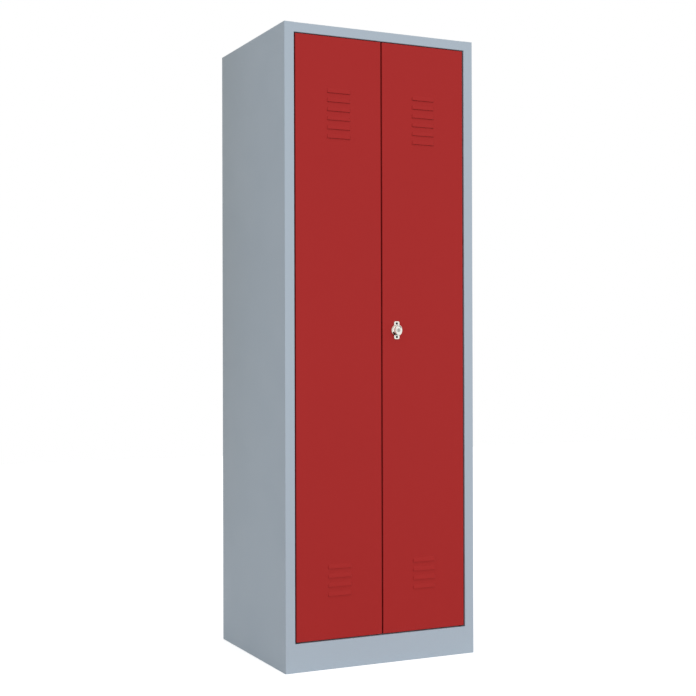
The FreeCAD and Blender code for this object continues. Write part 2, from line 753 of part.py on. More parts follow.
def lock_rod(x, edge_z, up):
    """A lock rod: round bar with a flat fork round its crank pin, open towards the spindle."""
    away = math.copysign(1, x - lock_x)
    fork_z = lock_z - up * crank_z
    slot_half = CRANK_PIN_R + CRANK_SLACK
    arm_half = slot_half + FORK_ARM
    fork_in = lock_x + away * (SPINDLE_R + FORK_SPINDLE_GAP)
    slot_end = lock_x + away * (CRANK_R + slot_half)
    fork_out = slot_end + away * FORK_WALL
    fork_y0, fork_y1 = rod_y - FORK_T / 2, rod_y + FORK_T / 2
    fork_x0, fork_x1 = min(fork_in, fork_out), max(fork_in, fork_out)
    fork = box(fork_x0, fork_x1, fork_y0, fork_y1, fork_z - arm_half, fork_z + arm_half)
    slot_in = fork_in - away * OVERRUN
    slot = box(
        min(slot_in, slot_end),
        max(slot_in, slot_end),
        fork_y0 - OVERRUN,
        fork_y1 + OVERRUN,
        fork_z - slot_half,
        fork_z + slot_half,
    )
    bar = tipped_bar(x, fork_z + up * (slot_half + FORK_ARM / 2), edge_z - up * ROD_TUCK)
    return bar.fuse(fork.cut(slot)).removeSplitter()


# Lock

def rosette():
    """Round plate with a squared ear for a screw above and below, and a conical boss."""
    half_w = ROSETTE_EAR_W / 2
    half_h = SCREW_RISE + ROSETTE_EAR_END
    ears = box(lock_x - half_w, lock_x + half_w, rosette_front, door_y0, lock_z - half_h, lock_z + half_h)
    corners = [edge for edge in ears.Edges if edge.BoundBox.YLength > SEAT_FIT]
    ears = ears.makeFillet(ROSETTE_EAR_ROUND, corners)
    plate = bar_y(lock_x, rosette_front, door_y0, lock_z, ROSETTE_R).fuse(ears).removeSplitter()
    notch_z = math.sqrt(ROSETTE_R**2 - half_w**2)

    def in_notch(edge):
        extent = edge.BoundBox
        upright = extent.ZLength < SEAT_FIT and extent.XLength < SEAT_FIT
        return upright and abs(abs(extent.Center.z - lock_z) - notch_z) < SEAT_FIT

    plate = plate.makeFillet(ROSETTE_NOTCH_ROUND, [edge for edge in plate.Edges if in_notch(edge)])
    rim = [edge for edge in plate.Edges if abs(edge.BoundBox.YMax - rosette_front) < SEAT_FIT]
    plate = plate.makeFillet(ROSETTE_ROUND, rim)
    boss_foot = Vector(lock_x, rosette_front, lock_z)
    boss = Part.makeCone(BOSS_BASE_R, BOSS_TOP_R, BOSS_H, boss_foot, Vector(0, -1, 0))
    cuts = [bar_y(lock_x, boss_front - OVERRUN, door_y0 + OVERRUN, lock_z, KNOB_BUSH_R + SEAT_FIT)]
    for z in screw_zs():
        cuts.append(bar_y(lock_x, rosette_front - OVERRUN, door_y0 + OVERRUN, z, SCREW_R + RUN_FIT))
        cuts.append(bar_y(lock_x, boss_front, rosette_front + SCREW_SINK, z, SCREW_HEAD_R + LOOSE_FIT))
    return plate.fuse(boss).cut(cuts)


def rosette_screws():
    screws = []
    seat = rosette_front + SCREW_SINK
    for z in screw_zs():
        head = bar_y(lock_x, seat - SCREW_HEAD_T, seat, z, SCREW_HEAD_R)
        head = head.cut(box(
            lock_x - SCREW_HEAD_R,
            lock_x + SCREW_HEAD_R,
            seat - SCREW_HEAD_T - OVERRUN,
            seat - SCREW_HEAD_T + SCREW_SLOT_D,
            z - SCREW_SLOT_W / 2,
            z + SCREW_SLOT_W / 2,
        ))
        screws.append(head.fuse(bar_y(lock_x, seat, plate_back + SMALL_NUT_T + STUD_TAIL, z, SCREW_R)))
    return Part.makeCompound(screws)


def rosette_nuts():
    nut_back = plate_back + SMALL_NUT_T
    nuts = [
        hex_nut(lock_x, plate_back, nut_back, z, SMALL_NUT_AF, SCREW_R + SEAT_FIT)
        for z in screw_zs()
    ]
    return Part.makeCompound(nuts)


def lock_plate():
    half_w, half_h = LOCK_PLATE_W / 2, LOCK_PLATE_H / 2
    plate = box(lock_x - half_w, lock_x + half_w, skin_in, plate_back, lock_z - half_h, lock_z + half_h)
    hole_y0, hole_y1 = skin_in - OVERRUN, plate_back + OVERRUN
    holes = [bar_y(lock_x, hole_y0, hole_y1, z, SCREW_R + RUN_FIT) for z in screw_zs()]
    return plate.cut(holes + [bar_y(lock_x, hole_y0, hole_y1, lock_z, KNOB_BUSH_R + SEAT_FIT)])


def knob_bush():
    flange_back = plate_back + KNOB_BUSH_FLANGE_T
    sleeve = bar_y(lock_x, boss_front, flange_back, lock_z, KNOB_BUSH_R)
    flange = bar_y(lock_x, plate_back, flange_back, lock_z, KNOB_BUSH_FLANGE_R)
    bore = bar_y(lock_x, boss_front - OVERRUN, flange_back + OVERRUN, lock_z, SPINDLE_R + RUN_FIT)
    return sleeve.fuse(flange).cut(bore)


spindle_front = plug_back + RUN_FIT + KNOB_WEB


def oval(y, width, height):
    """An upright oval wire on the knob's axis."""
    centre = Vector(lock_x, y, lock_z)
    long_end = centre + Vector(0, 0, height / 2)
    short_end = centre + Vector(width / 2, 0, 0)
    return Part.Wire(Part.Ellipse(long_end, short_end, centre).toShape())


def knob():
    """Oval grip with a rounded rim round a dished face, on a flaring neck, bored for plug and spindle."""
    grip = Part.Face(oval(grip_back, KNOB_W, KNOB_H)).extrude(Vector(0, -KNOB_GRIP_T, 0))
    rim = [edge for edge in grip.Edges if abs(edge.BoundBox.YMax - grip_front) < SEAT_FIT]
    grip = grip.makeFillet(KNOB_RIM_ROUND, rim)
    neck_foot = oval(neck_back, 2 * KNOB_NECK_R, 2 * KNOB_NECK_R)
    neck = Part.makeLoft([neck_foot, oval(grip_back, KNOB_W, KNOB_H)], True)
    inner = 2 * KNOB_RIM
    floor_inset = inner + 2 * KNOB_DISH_SLOPE
    dish = Part.makeLoft(
        [
            oval(grip_front, KNOB_W - inner, KNOB_H - inner),
            oval(grip_front + KNOB_DISH, KNOB_W - floor_inset, KNOB_H - floor_inset),
        ],
        True,
    )
    plug_bore = bar_y(lock_x, grip_front - OVERRUN, plug_back + RUN_FIT, lock_z, PLUG_R + RUN_FIT)
    socket = bar_y(lock_x, spindle_front, neck_back + OVERRUN, lock_z, SPINDLE_R + SEAT_FIT)
    return grip.fuse(neck).cut([dish, plug_bore, socket])


def key_plug():
    plug = bar_y(lock_x, plug_front, plug_back, lock_z, PLUG_R)
    keyway = box(
        lock_x - KEYWAY_W / 2,
        lock_x + KEYWAY_W / 2,
        plug_front - OVERRUN,
        plug_front + KEYWAY_D,
        lock_z - KEYWAY_H / 2,
        lock_z + KEYWAY_H / 2,
    )
    return plug.cut(keyway)


def spindle():
    return bar_y(lock_x, spindle_front, driver_back + SPINDLE_NUT_T + SPINDLE_TAIL, lock_z, SPINDLE_R)


def driver_plate():
    disc = bar_y(lock_x, driver_front, driver_back, lock_z, CRANK_R + CRANK_PIN_R + DRIVER_WALL)
    hole_y0, hole_y1 = driver_front - OVERRUN, driver_back + OVERRUN
    return disc.cut(bar_y(lock_x, hole_y0, hole_y1, lock_z, SPINDLE_R + SEAT_FIT))


def crank_pins():
    """One pin below the level line beside the upper rod, one above it beside the lower rod."""
    tip = rod_y - FORK_T / 2 - CRANK_PIN_TAIL
    pins = [
        bar_y(lock_x + side * crank_x, tip, driver_front, lock_z + side * crank_z, CRANK_PIN_R)
        for side in (-1, 1)
    ]
    return Part.makeCompound(pins)


def spindle_nut():
    nut_back = driver_back + SPINDLE_NUT_T
    return hex_nut(lock_x, driver_back, nut_back, lock_z, SPINDLE_NUT_AF, SPINDLE_R + SEAT_FIT)


# All pieces by name

right_side = side_panel()
plain_door = door_panel()
stiffener = door_stiffener()
bushes = door_bushes()
bolt_guide_places = [(bolt_x, z) for z in bolt_guide_zs()]

pieces = {
    "left_side_panel": mirrored(right_side),
    "right_side_panel": right_side,
    "top_panel": top_panel(),
    "plinth_front": plinth_front(),
    "back_panel": back_panel(),
    "floor_tray": floor_tray(),
    "centre_partition": centre_partition(),
    "plinth_gussets": gussets(SHEET + FLANGE_RELIEF, open_z0 - SHEET - FLANGE_RELIEF),
    "header_gussets": gussets(open_z1 + SHEET + FLANGE_RELIEF, z_ceiling - SHEET - FLANGE_RELIEF),
    "top_pivot_pins": top_pivot_pins(),
    "bottom_pivot_pins": bottom_pivot_pins(),
    "door_buffers": door_buffers(),
    "hat_shelf": hat_shelf(),
    "hat_shelf_rails": hat_shelf_rails(),
    "clothes_rail": clothes_rail(),
    "rail_sockets": rail_sockets(),
    "shelf_uprights": shelf_uprights(),
    "shelf_clips": shelf_clips(),
    "left_door_panel": left_door_panel(plain_door),
    "left_door_stiffener": mirrored(stiffener),
    "left_door_bushes": mirrored(bushes),
    "bolt_guides": Part.makeCompound([guide(x, z) for x, z in bolt_guide_places]),
    "bolt_guide_fixings": Part.makeCompound([p for x, z in bolt_guide_places for p in guide_fixings(x, z)]),
    "top_bolt": bolt(door_z1, 1),
    "bottom_bolt": bolt(door_z0, -1),
    "right_door_panel": right_door_panel(plain_door),
    "right_door_stiffener": stiffener,
    "right_door_bushes": bushes,
    "rosette": rosette(),
    "rosette_screws": rosette_screws(),
    "rosette_nuts": rosette_nuts(),
    "lock_plate": lock_plate(),
    "knob_bush": knob_bush(),
    "rod_guides": Part.makeCompound([guide(x, z) for x, z in rod_guide_places()]),
    "rod_guide_fixings": Part.makeCompound([p for x, z in rod_guide_places() for p in guide_fixings(x, z)]),
    "upper_rod": lock_rod(upper_rod_x, door_z1, 1),
    "lower_rod": lock_rod(lower_rod_x, door_z0, -1),
    "knob": knob(),
    "spindle": spindle(),
    "driver_plate": driver_plate(),
    "crank_pins": crank_pins(),
    "spindle_nut": spindle_nut(),
    "key_plug": key_plug(),
}
for number, slot_z in enumerate(shelf_slot_zs, start=1):
    pieces[f"shelf_{number}"] = shelf(slot_z + CLIP_T)

os.makedirs("parts", exist_ok=True)
for name, shape in pieces.items():
    shape.exportStep(f"parts/{name}.step")
    print(name, len(shape.Solids), "solids", round(shape.Volume / 1000, 2), "cm3", shape.isValid())
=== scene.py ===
# %% [markdown]
# The steel cabinet in Blender. The CAD frame gives every place and size. This lesson builds the
# sheet metal, the louvres and the lock again with soft folds, gives every piece its finish, and sets
# the camera and the light as in the photograph.

# %% Load the frame
import json
import math
import bmesh
import bpy
from mathutils import Matrix, Vector


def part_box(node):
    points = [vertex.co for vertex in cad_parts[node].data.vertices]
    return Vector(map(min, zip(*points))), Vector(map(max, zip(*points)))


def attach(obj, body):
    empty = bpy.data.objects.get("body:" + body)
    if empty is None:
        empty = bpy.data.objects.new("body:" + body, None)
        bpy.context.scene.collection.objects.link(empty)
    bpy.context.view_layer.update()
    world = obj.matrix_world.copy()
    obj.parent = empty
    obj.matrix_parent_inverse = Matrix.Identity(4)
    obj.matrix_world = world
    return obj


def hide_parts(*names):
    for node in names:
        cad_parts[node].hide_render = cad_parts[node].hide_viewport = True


MM = 0.001
scene = bpy.context.scene
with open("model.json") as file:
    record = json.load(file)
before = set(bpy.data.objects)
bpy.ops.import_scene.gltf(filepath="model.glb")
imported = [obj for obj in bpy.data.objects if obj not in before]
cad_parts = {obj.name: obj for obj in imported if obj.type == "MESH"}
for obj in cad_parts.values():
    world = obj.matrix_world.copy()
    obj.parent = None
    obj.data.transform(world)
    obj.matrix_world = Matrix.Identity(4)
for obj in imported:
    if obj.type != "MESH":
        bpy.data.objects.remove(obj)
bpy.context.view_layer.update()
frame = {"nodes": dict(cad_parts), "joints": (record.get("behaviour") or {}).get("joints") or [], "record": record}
nodes = frame["nodes"]
slot_of = {row["node"]: row["material_slot"] for row in frame["record"]["subparts"]}

# %% [markdown]
# The camera comes first. The photograph's edges fix its place, its aim and its focal length.
# That is more exact than turning the camera by hand with Euler angles.

# %% Camera
IMAGE_PX = 696
FOCAL_PX = 1301.87
SENSOR_MM = 36.0
CAMERA_PLACE = Vector((-1.6857, -3.5588, 0.8811))
CAMERA_YAW = math.radians(-25.495)
CAMERA_PITCH = math.radians(0.2587)
CAMERA_ROLL = math.radians(-0.1514)

flat_right = Vector((math.cos(CAMERA_YAW), math.sin(CAMERA_YAW), 0))
ahead = Vector((
    -math.sin(CAMERA_YAW) * math.cos(CAMERA_PITCH),
    math.cos(CAMERA_YAW) * math.cos(CAMERA_PITCH),
    math.sin(CAMERA_PITCH),
))
flat_up = flat_right.cross(ahead)
right = math.cos(CAMERA_ROLL) * flat_right + math.sin(CAMERA_ROLL) * flat_up
up = math.cos(CAMERA_ROLL) * flat_up - math.sin(CAMERA_ROLL) * flat_right

lens = bpy.data.cameras.new("photo_camera")
lens.sensor_fit = "HORIZONTAL"
lens.sensor_width = SENSOR_MM
lens.lens = FOCAL_PX / IMAGE_PX * SENSOR_MM
lens.clip_end = 100
camera = bpy.data.objects.new("photo_camera", lens)
scene.collection.objects.link(camera)
camera.matrix_world = Matrix.Translation(CAMERA_PLACE) @ Matrix((right, up, -ahead)).transposed().to_4x4()
scene.camera = camera
print("lens in mm:", round(lens.lens, 2))

# %% [markdown]
# Finishes. Powder coat is paint baked from powder: an even colour, a satin sheen and a very fine
# orange peel. A flat colour would look like plastic, so noise textures on Object coordinates vary
# the colour and the roughness a little and feed a bump. Object coordinates are metres here, so a
# texture's scale says how many patches there are in a metre.

# %% Node helpers
NOISE_SPAN = (0.3, 0.7)


def new_finish(name):
    """A material with its shader and an Object coordinate."""
    finish = bpy.data.materials.new(name)
    finish.use_nodes = True
    tree = finish.node_tree
    shader = tree.nodes["Principled BSDF"]
    place = tree.nodes.new("ShaderNodeTexCoord").outputs["Object"]
    return finish, tree, shader, place


def noise(tree, place, scale, detail=2.0, stretch=None):
    """A noise value between 0 and 1, which may be stretched along an axis."""
    if stretch:
        mapping = tree.nodes.new("ShaderNodeMapping")
        mapping.inputs["Scale"].default_value = stretch
        tree.links.new(place, mapping.inputs["Vector"])
        place = mapping.outputs["Vector"]
    texture = tree.nodes.new("ShaderNodeTexNoise")
    texture.inputs["Scale"].default_value = scale
    texture.inputs["Detail"].default_value = detail
    tree.links.new(place, texture.inputs["Vector"])
    return texture.outputs["Fac"]


def spread(tree, value, low, high):
    """A noise value mapped from its usual span to a range."""
    node = tree.nodes.new("ShaderNodeMapRange")
    node.inputs["From Min"].default_value = NOISE_SPAN[0]
    node.inputs["From Max"].default_value = NOISE_SPAN[1]
    node.inputs["To Min"].default_value = low
    node.inputs["To Max"].default_value = high
    tree.links.new(value, node.inputs["Value"])
    return node.outputs["Result"]


def tint(tree, factor, first, second):
    """A colour between two linear colours."""
    node = tree.nodes.new("ShaderNodeMix")
    node.data_type = "RGBA"
    tree.links.new(factor, node.inputs["Factor"])
    node.inputs["A"].default_value = (*first, 1)
    node.inputs["B"].default_value = (*second, 1)
    return node.outputs["Result"]


def bump(tree, shader, height, distance, strength=1.0):
    node = tree.nodes.new("ShaderNodeBump")
    node.inputs["Strength"].default_value = strength
    node.inputs["Distance"].default_value = distance
    tree.links.new(height, node.inputs["Height"])
    tree.links.new(node.outputs["Normal"], shader.inputs["Normal"])


def linear(red, green, blue):
    """A linear colour from the eight-bit values of a screen colour."""
    def one(value):
        value = value / 255
        return value / 12.92 if value <= 0.04045 else ((value + 0.055) / 1.055) ** 2.4
    return Vector((one(red), one(green), one(blue)))


# %% Powder coats
CLOUDS_PER_M = 2.2
SPECKS_PER_M = 2600
SHEEN_PER_M = 9
PEEL_PER_M = 750
PEEL_DEPTH = 0.00004
COAT_ROUGH = (0.46, 0.54)


def powder_coat(name, colour, clouds, speckle, gloss):
    """Satin powder coat: faint clouds in the colour, fine speckle, orange peel."""
    finish, tree, shader, place = new_finish(name)
    cloud = spread(tree, noise(tree, place, CLOUDS_PER_M, 3), 0, 1)
    grain = spread(tree, noise(tree, place, SPECKS_PER_M, 1), 0, 1)
    both = tree.nodes.new("ShaderNodeMix")
    both.inputs["Factor"].default_value = speckle
    tree.links.new(cloud, both.inputs["A"])
    tree.links.new(grain, both.inputs["B"])
    pale = colour * (1 + clouds)
    deep = colour * (1 - clouds)
    tree.links.new(tint(tree, both.outputs["Result"], deep, pale), shader.inputs["Base Color"])
    tree.links.new(spread(tree, noise(tree, place, SHEEN_PER_M, 3), *COAT_ROUGH), shader.inputs["Roughness"])
    shader.inputs["Specular IOR Level"].default_value = gloss
    bump(tree, shader, noise(tree, place, PEEL_PER_M, 2), PEEL_DEPTH, 0.5)
    return finish


finishes = {
    "grey_coat": powder_coat("grey_coat", linear(173, 186, 198), clouds=0.018, speckle=0.35, gloss=0.2),
    "red_coat": powder_coat("red_coat", linear(168, 42, 41), clouds=0.02, speckle=0.35, gloss=0.12),
}
print("coats:", list(finishes))

# %% [markdown]
# Metals. Zinc plate shows dull crystals and fine drawn lines, chrome is a clear mirror with faint
# wiping marks, and the nickel plug is finely brushed. Each is the Principled shader with Metallic at
# one. Only roughness, colour and bump differ, because a metal has no paint to give it a pattern.

# %% Metals
CRYSTALS_PER_M = 420
ZINC_DARK = (0.53, 0.54, 0.555)
ZINC_PALE = (0.585, 0.59, 0.60)
ZINC_ROUGH = (0.30, 0.37)
DRAWN_PER_M = 900
DRAWN_STRETCH = (1, 1, 0.15)
DRAWN_DEPTH = 0.00002


def metal(name, colour, rough, scale, stretch, variation, depth):
    """A metal whose colour and roughness vary along a stretched noise."""
    finish, tree, shader, place = new_finish(name)
    shader.inputs["Metallic"].default_value = 1.0
    streak = noise(tree, place, scale, 3, stretch)
    pale = colour * (1 + variation)
    deep = colour * (1 - variation)
    tree.links.new(tint(tree, spread(tree, streak, 0, 1), deep, pale), shader.inputs["Base Color"])
    tree.links.new(spread(tree, streak, *rough), shader.inputs["Roughness"])
    bump(tree, shader, streak, depth, 0.4)
    return finish


def zinc_plate():
    """Zinc plate: small crystals of slightly different grey over fine lines."""
    finish, tree, shader, place = new_finish("zinc_steel")
    shader.inputs["Metallic"].default_value = 1.0
    crystals = tree.nodes.new("ShaderNodeTexVoronoi")
    crystals.inputs["Scale"].default_value = CRYSTALS_PER_M
    tree.links.new(place, crystals.inputs["Vector"])
    shade = tree.nodes.new("ShaderNodeSeparateColor")
    tree.links.new(crystals.outputs["Color"], shade.inputs["Color"])
    colour = tint(tree, shade.outputs["Red"], ZINC_DARK, ZINC_PALE)
    tree.links.new(colour, shader.inputs["Base Color"])
    tree.links.new(spread(tree, shade.outputs["Green"], *ZINC_ROUGH), shader.inputs["Roughness"])
    bump(tree, shader, noise(tree, place, DRAWN_PER_M, 2, DRAWN_STRETCH), DRAWN_DEPTH, 0.5)
    return finish


finishes["zinc_steel"] = zinc_plate()
finishes["bright_chrome"] = metal(
    "bright_chrome", Vector((0.86, 0.85, 0.79)), rough=(0.07, 0.13),
    scale=260, stretch=(1, 1, 0.3), variation=0.02, depth=0.000005,
)
finishes["nickel"] = metal(
    "nickel", Vector((0.52, 0.51, 0.48)), rough=(0.26, 0.36),
    scale=900, stretch=(0.2, 1, 1), variation=0.06, depth=0.00001,
)
# The screws are dark, and their near-black colour is also painted shade for the recesses they sit in.
finishes["dark_screw"] = metal(
    "dark_screw", Vector((0.012, 0.012, 0.013)), rough=(0.34, 0.46),
    scale=700, stretch=(1, 1, 1), variation=0.15, depth=0.00002,
)
print("finishes so far:", list(finishes))

# %% [markdown]
# Nylon and rubber. Both are near black and differ in how they catch light: moulded nylon has a fine
# spark-eroded grain and a soft sheen, rubber is duller and carries a little dust.

# %% Nylon and rubber
DUST_PER_M = 45
SMEARS_PER_M = 120


def moulded(name, dark, pale, rough, scale, depth):
    """A dark moulded material with a fine grain and a little dust."""
    finish, tree, shader, place = new_finish(name)
    dust = spread(tree, noise(tree, place, DUST_PER_M, 4), 0, 1)
    tree.links.new(tint(tree, dust, dark, pale), shader.inputs["Base Color"])
    tree.links.new(spread(tree, noise(tree, place, SMEARS_PER_M, 2), *rough), shader.inputs["Roughness"])
    bump(tree, shader, noise(tree, place, scale, 2), depth, 0.6)
    return finish


finishes["black_nylon"] = moulded(
    "black_nylon", dark=(0.012, 0.012, 0.013), pale=(0.020, 0.020, 0.021),
    rough=(0.42, 0.55), scale=2200, depth=0.00005,
)
finishes["buffer_rubber"] = moulded(
    "buffer_rubber", dark=(0.016, 0.016, 0.016), pale=(0.034, 0.033, 0.032),
    rough=(0.75, 0.88), scale=1400, depth=0.00006,
)
for name, node in nodes.items():
    node.material_slots[0].material = finishes[slot_of[name]]
print("finishes:", len(finishes), "set on", len(nodes), "nodes")

# %% [markdown]
# Modelling helpers. Each one does what a hand would do with the mouse: add a primitive at its size
# and place, go into edit mode, choose faces or edges by where they are, and use an operator on them.
# Operators act on all that is selected, so each helper first selects nothing.

# %% Selecting and starting shapes
SAME = 0.00001
FACING = 0.9
FOLD_ANGLE = 1.0


def fresh():
    """Leaves edit mode and selects nothing."""
    if bpy.context.mode != "OBJECT":
        bpy.ops.object.mode_set(mode="OBJECT")
    bpy.ops.object.select_all(action="DESELECT")


def take(piece, mode="OBJECT"):
    fresh()
    piece.select_set(True)
    bpy.context.view_layer.objects.active = piece
    bpy.ops.object.mode_set(mode=mode)


def choose(kind, test):
    """In edit mode, selects the vertices, edges or faces that pass a test, and nothing else."""
    bpy.ops.mesh.select_mode(type=kind)
    bpy.ops.mesh.select_all(action="DESELECT")
    mesh = bmesh.from_edit_mesh(bpy.context.object.data)
    for part in {"VERT": mesh.verts, "EDGE": mesh.edges, "FACE": mesh.faces}[kind]:
        if test(part):
            part.select_set(True)
    bmesh.update_edit_mesh(bpy.context.object.data)


def named(name, size, turn=(0, 0, 0)):
    """Names the new primitive, scales and turns it, and applies both."""
    piece = bpy.context.object
    piece.name = name
    piece.data.name = name
    piece.scale = size
    piece.rotation_euler = turn
    bpy.ops.object.transform_apply(location=True, rotation=True, scale=True)
    return piece


def block(name, low, high):
    fresh()
    low, high = Vector(low), Vector(high)
    bpy.ops.mesh.primitive_cube_add(size=1, location=(low + high) / 2)
    return named(name, high - low)


SMALL_SIDES = 32
ROUND_SIDES = 48
FINE_SIDES = 64
OVAL_SIDES = 96
BAR_TURN = {"X": (0, math.pi / 2, 0), "Y": (math.pi / 2, 0, 0), "Z": (0, 0, 0)}


def bar(name, axis, start, end, radius, sides=ROUND_SIDES):
    """A round bar between two points that lie along one axis."""
    fresh()
    start, end = Vector(start), Vector(end)
    bpy.ops.mesh.primitive_cylinder_add(
        vertices=sides, radius=radius, depth=(end - start).length, location=(start + end) / 2
    )
    return named(name, (1, 1, 1), BAR_TURN[axis])


def near(value, target, within=SAME):
    return abs(value - target) < within


def across(a, b):
    """Two values in rising order."""
    return min(a, b), max(a, b)


# %% Modifiers and joining
def apply(piece, kind, **settings):
    """Adds a modifier, sets it and applies it."""
    take(piece)
    change = piece.modifiers.new(kind.lower(), kind)
    for name, value in settings.items():
        setattr(change, name, value)
    bpy.ops.object.modifier_apply(modifier=change.name)


def joined(pieces):
    take(pieces[0])
    for piece in pieces:
        piece.select_set(True)
    bpy.ops.object.join()
    return pieces[0]


def carve(piece, tools, operation="DIFFERENCE"):
    """Cuts tools out of a piece, or welds them on, one boolean after another."""
    for tool in tools:
        apply(piece, "BOOLEAN", operation=operation, solver="EXACT", object=tool)
        bpy.data.objects.remove(tool)


def copy_of(piece, name):
    take(piece)
    bpy.ops.object.duplicate()
    twin = bpy.context.object
    twin.name = name
    twin.data.name = name
    return twin


def shifted(piece, name, move):
    """A copy moved along a vector, with its place in its mesh."""
    twin = copy_of(piece, name)
    twin.location = move
    bpy.ops.object.transform_apply(location=True, rotation=False, scale=False)
    return twin


def mirrored(piece, name, plane="X", middle=0.0):
    """A copy mirrored in a plane across an axis, whose normals are still turned in."""
    twin = copy_of(piece, name)
    k = "XYZ".index(plane)
    twin.scale[k] = -1
    twin.location[k] = 2 * middle
    bpy.ops.object.transform_apply(location=True, rotation=False, scale=True)
    return twin


# %% Cleaning up and finishing a piece
FINE_MERGE = 0.000002
SHARP_DEG = 35
FACE_WEIGHT = 80


def merge_doubles(within=SAME):
    """In edit mode, merges the vertices that lie together, and leaves all selected."""
    bpy.ops.mesh.select_all(action="SELECT")
    bpy.ops.mesh.remove_doubles(threshold=within)


def recalculated(piece):
    """Turns the normals to the outside."""
    take(piece, "EDIT")
    bpy.ops.mesh.select_all(action="SELECT")
    bpy.ops.mesh.normals_make_consistent(inside=False)
    bpy.ops.object.mode_set(mode="OBJECT")


def rounded_edges(piece, test, width, segments=3):
    take(piece, "EDIT")
    choose("EDGE", test)
    bpy.ops.mesh.bevel(offset=width, segments=segments, affect="EDGES", clamp_overlap=True)
    bpy.ops.object.mode_set(mode="OBJECT")


def flat_at(axis, place):
    """A test for edges that lie in a plane across an axis."""
    k = "XYZ".index(axis)
    return lambda edge: all(near(v.co[k], place) for v in edge.verts)


def folds(edge):
    """A test for edges between faces that meet at an angle of a fold."""
    return len(edge.link_faces) == 2 and edge.calc_face_angle() > FOLD_ANGLE


def done(piece, body, node):
    """Merges doubles, shades the piece, gives it the node's finish and ties it to its body."""
    take(piece, "EDIT")
    merge_doubles(FINE_MERGE)
    bpy.ops.object.mode_set(mode="OBJECT")
    bpy.ops.object.shade_smooth_by_angle(angle=math.radians(SHARP_DEG))
    apply(piece, "WEIGHTED_NORMAL", keep_sharp=True, weight=FACE_WEIGHT)
    finish = slot_of[node]
    if not piece.data.materials:
        piece.data.materials.append(finishes[finish])
    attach(piece, body)
    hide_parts(node)
    print(piece.name, "on", body, "faces:", len(piece.data.polygons))


# %% [markdown]
# Folded sheet. A press brake folds a flat blank along straight lines. The same is done here: one leg
# of the section is a plane, its end edge is extruded leg by leg, the fold lines get a round bevel, and
# Solidify gives the sheet its thickness towards the inside. Extruding a finished outline would give
# the same shape, but the folds would then be hard to reach.

# %% Folded sheet
SHEET = 0.0008
BEND = 0.0008
FOLD = BEND + SHEET
FOLD_STEPS = 5


def thickened(piece, thickness=SHEET, offset=-1):
    """Gives a bare surface its thickness, behind its faces unless another offset is given."""
    apply(piece, "SOLIDIFY", thickness=thickness, offset=offset, use_even_offset=True)


def folded(name, axis, line, side, start, end):
    """A sheet folded along a line and drawn along X or Z; it lies left (1) or right (-1) of the line."""
    def put(point, t):
        return Vector((point[0], point[1], t)) if axis == "Z" else Vector((t, point[0], point[1]))

    def at(vertex, point):
        return (vertex.co - put(point, vertex.co["XYZ".index(axis)])).length < SAME

    fresh()
    leg = put(line[1], start) - put(line[0], start)
    draw = put(line[0], end) - put(line[0], start)
    bpy.ops.mesh.primitive_plane_add(size=1, location=put(line[0], start) + (leg + draw) / 2)
    axes = Matrix((leg.normalized(), draw.normalized(), leg.cross(draw).normalized())).transposed()
    piece = named(name, (leg.length, draw.length, 1), axes.to_euler())
    take(piece, "EDIT")
    for here, following in zip(line[1:], line[2:]):
        choose("EDGE", lambda edge: all(at(v, here) for v in edge.verts))
        step = put(following, start) - put(here, start)
        bpy.ops.mesh.extrude_edges_move(TRANSFORM_OT_translate={"value": step})
    for before, here, after in zip(line, line[1:], line[2:]):
        into = (here[0] - before[0], here[1] - before[1])
        out = (after[0] - here[0], after[1] - here[1])
        turn = into[0] * out[1] - into[1] * out[0]
        choose("EDGE", lambda edge: all(at(v, here) for v in edge.verts))
        radius = FOLD if turn * side > 0 else BEND
        bpy.ops.mesh.bevel(offset=radius, segments=FOLD_STEPS, affect="EDGES")
    thickened(piece, offset=-side)
    return piece


# %% [markdown]
# The box. Sides, top, plinth, back and partition are folded sheets. Their main planes come from the
# CAD nodes' boxes, so they can't drift from the frame. A side has its post return only beside the
# door opening, so it is made of three lengths that are welded into one by a boolean union.

# %% Planes of the box
side_low, side_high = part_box("right_side_panel")
plinth_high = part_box("plinth_front")[1]
top_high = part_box("top_panel")[1]
back_low, back_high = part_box("back_panel")
door_low, door_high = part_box("right_door_panel")
part_low, part_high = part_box("centre_partition")
X_SIDE = side_high.x
Y_FRONT = side_low.y
Y_BACK = side_high.y
HEIGHT = side_high.z
POST_W = 0.029
PLINTH_H = 0.080
HEADER_H = 0.027
OPEN_X = X_SIDE - POST_W
OPEN_Z0 = PLINTH_H
OPEN_Z1 = HEIGHT - HEADER_H
Y_STOP = plinth_high.y - SHEET
Z_FLOOR = plinth_high.z
STOP_H = Z_FLOOR - OPEN_Z0
print("opening:", round(2 * OPEN_X, 4), "by", round(OPEN_Z1 - OPEN_Z0, 4), "stop at", round(Y_STOP, 4))

# %% Side panels
REAR_FLANGE = 0.020
POST_LIP = 0.012
FOOT_FLANGE = 0.015
FLANGE_STOP = 0.003


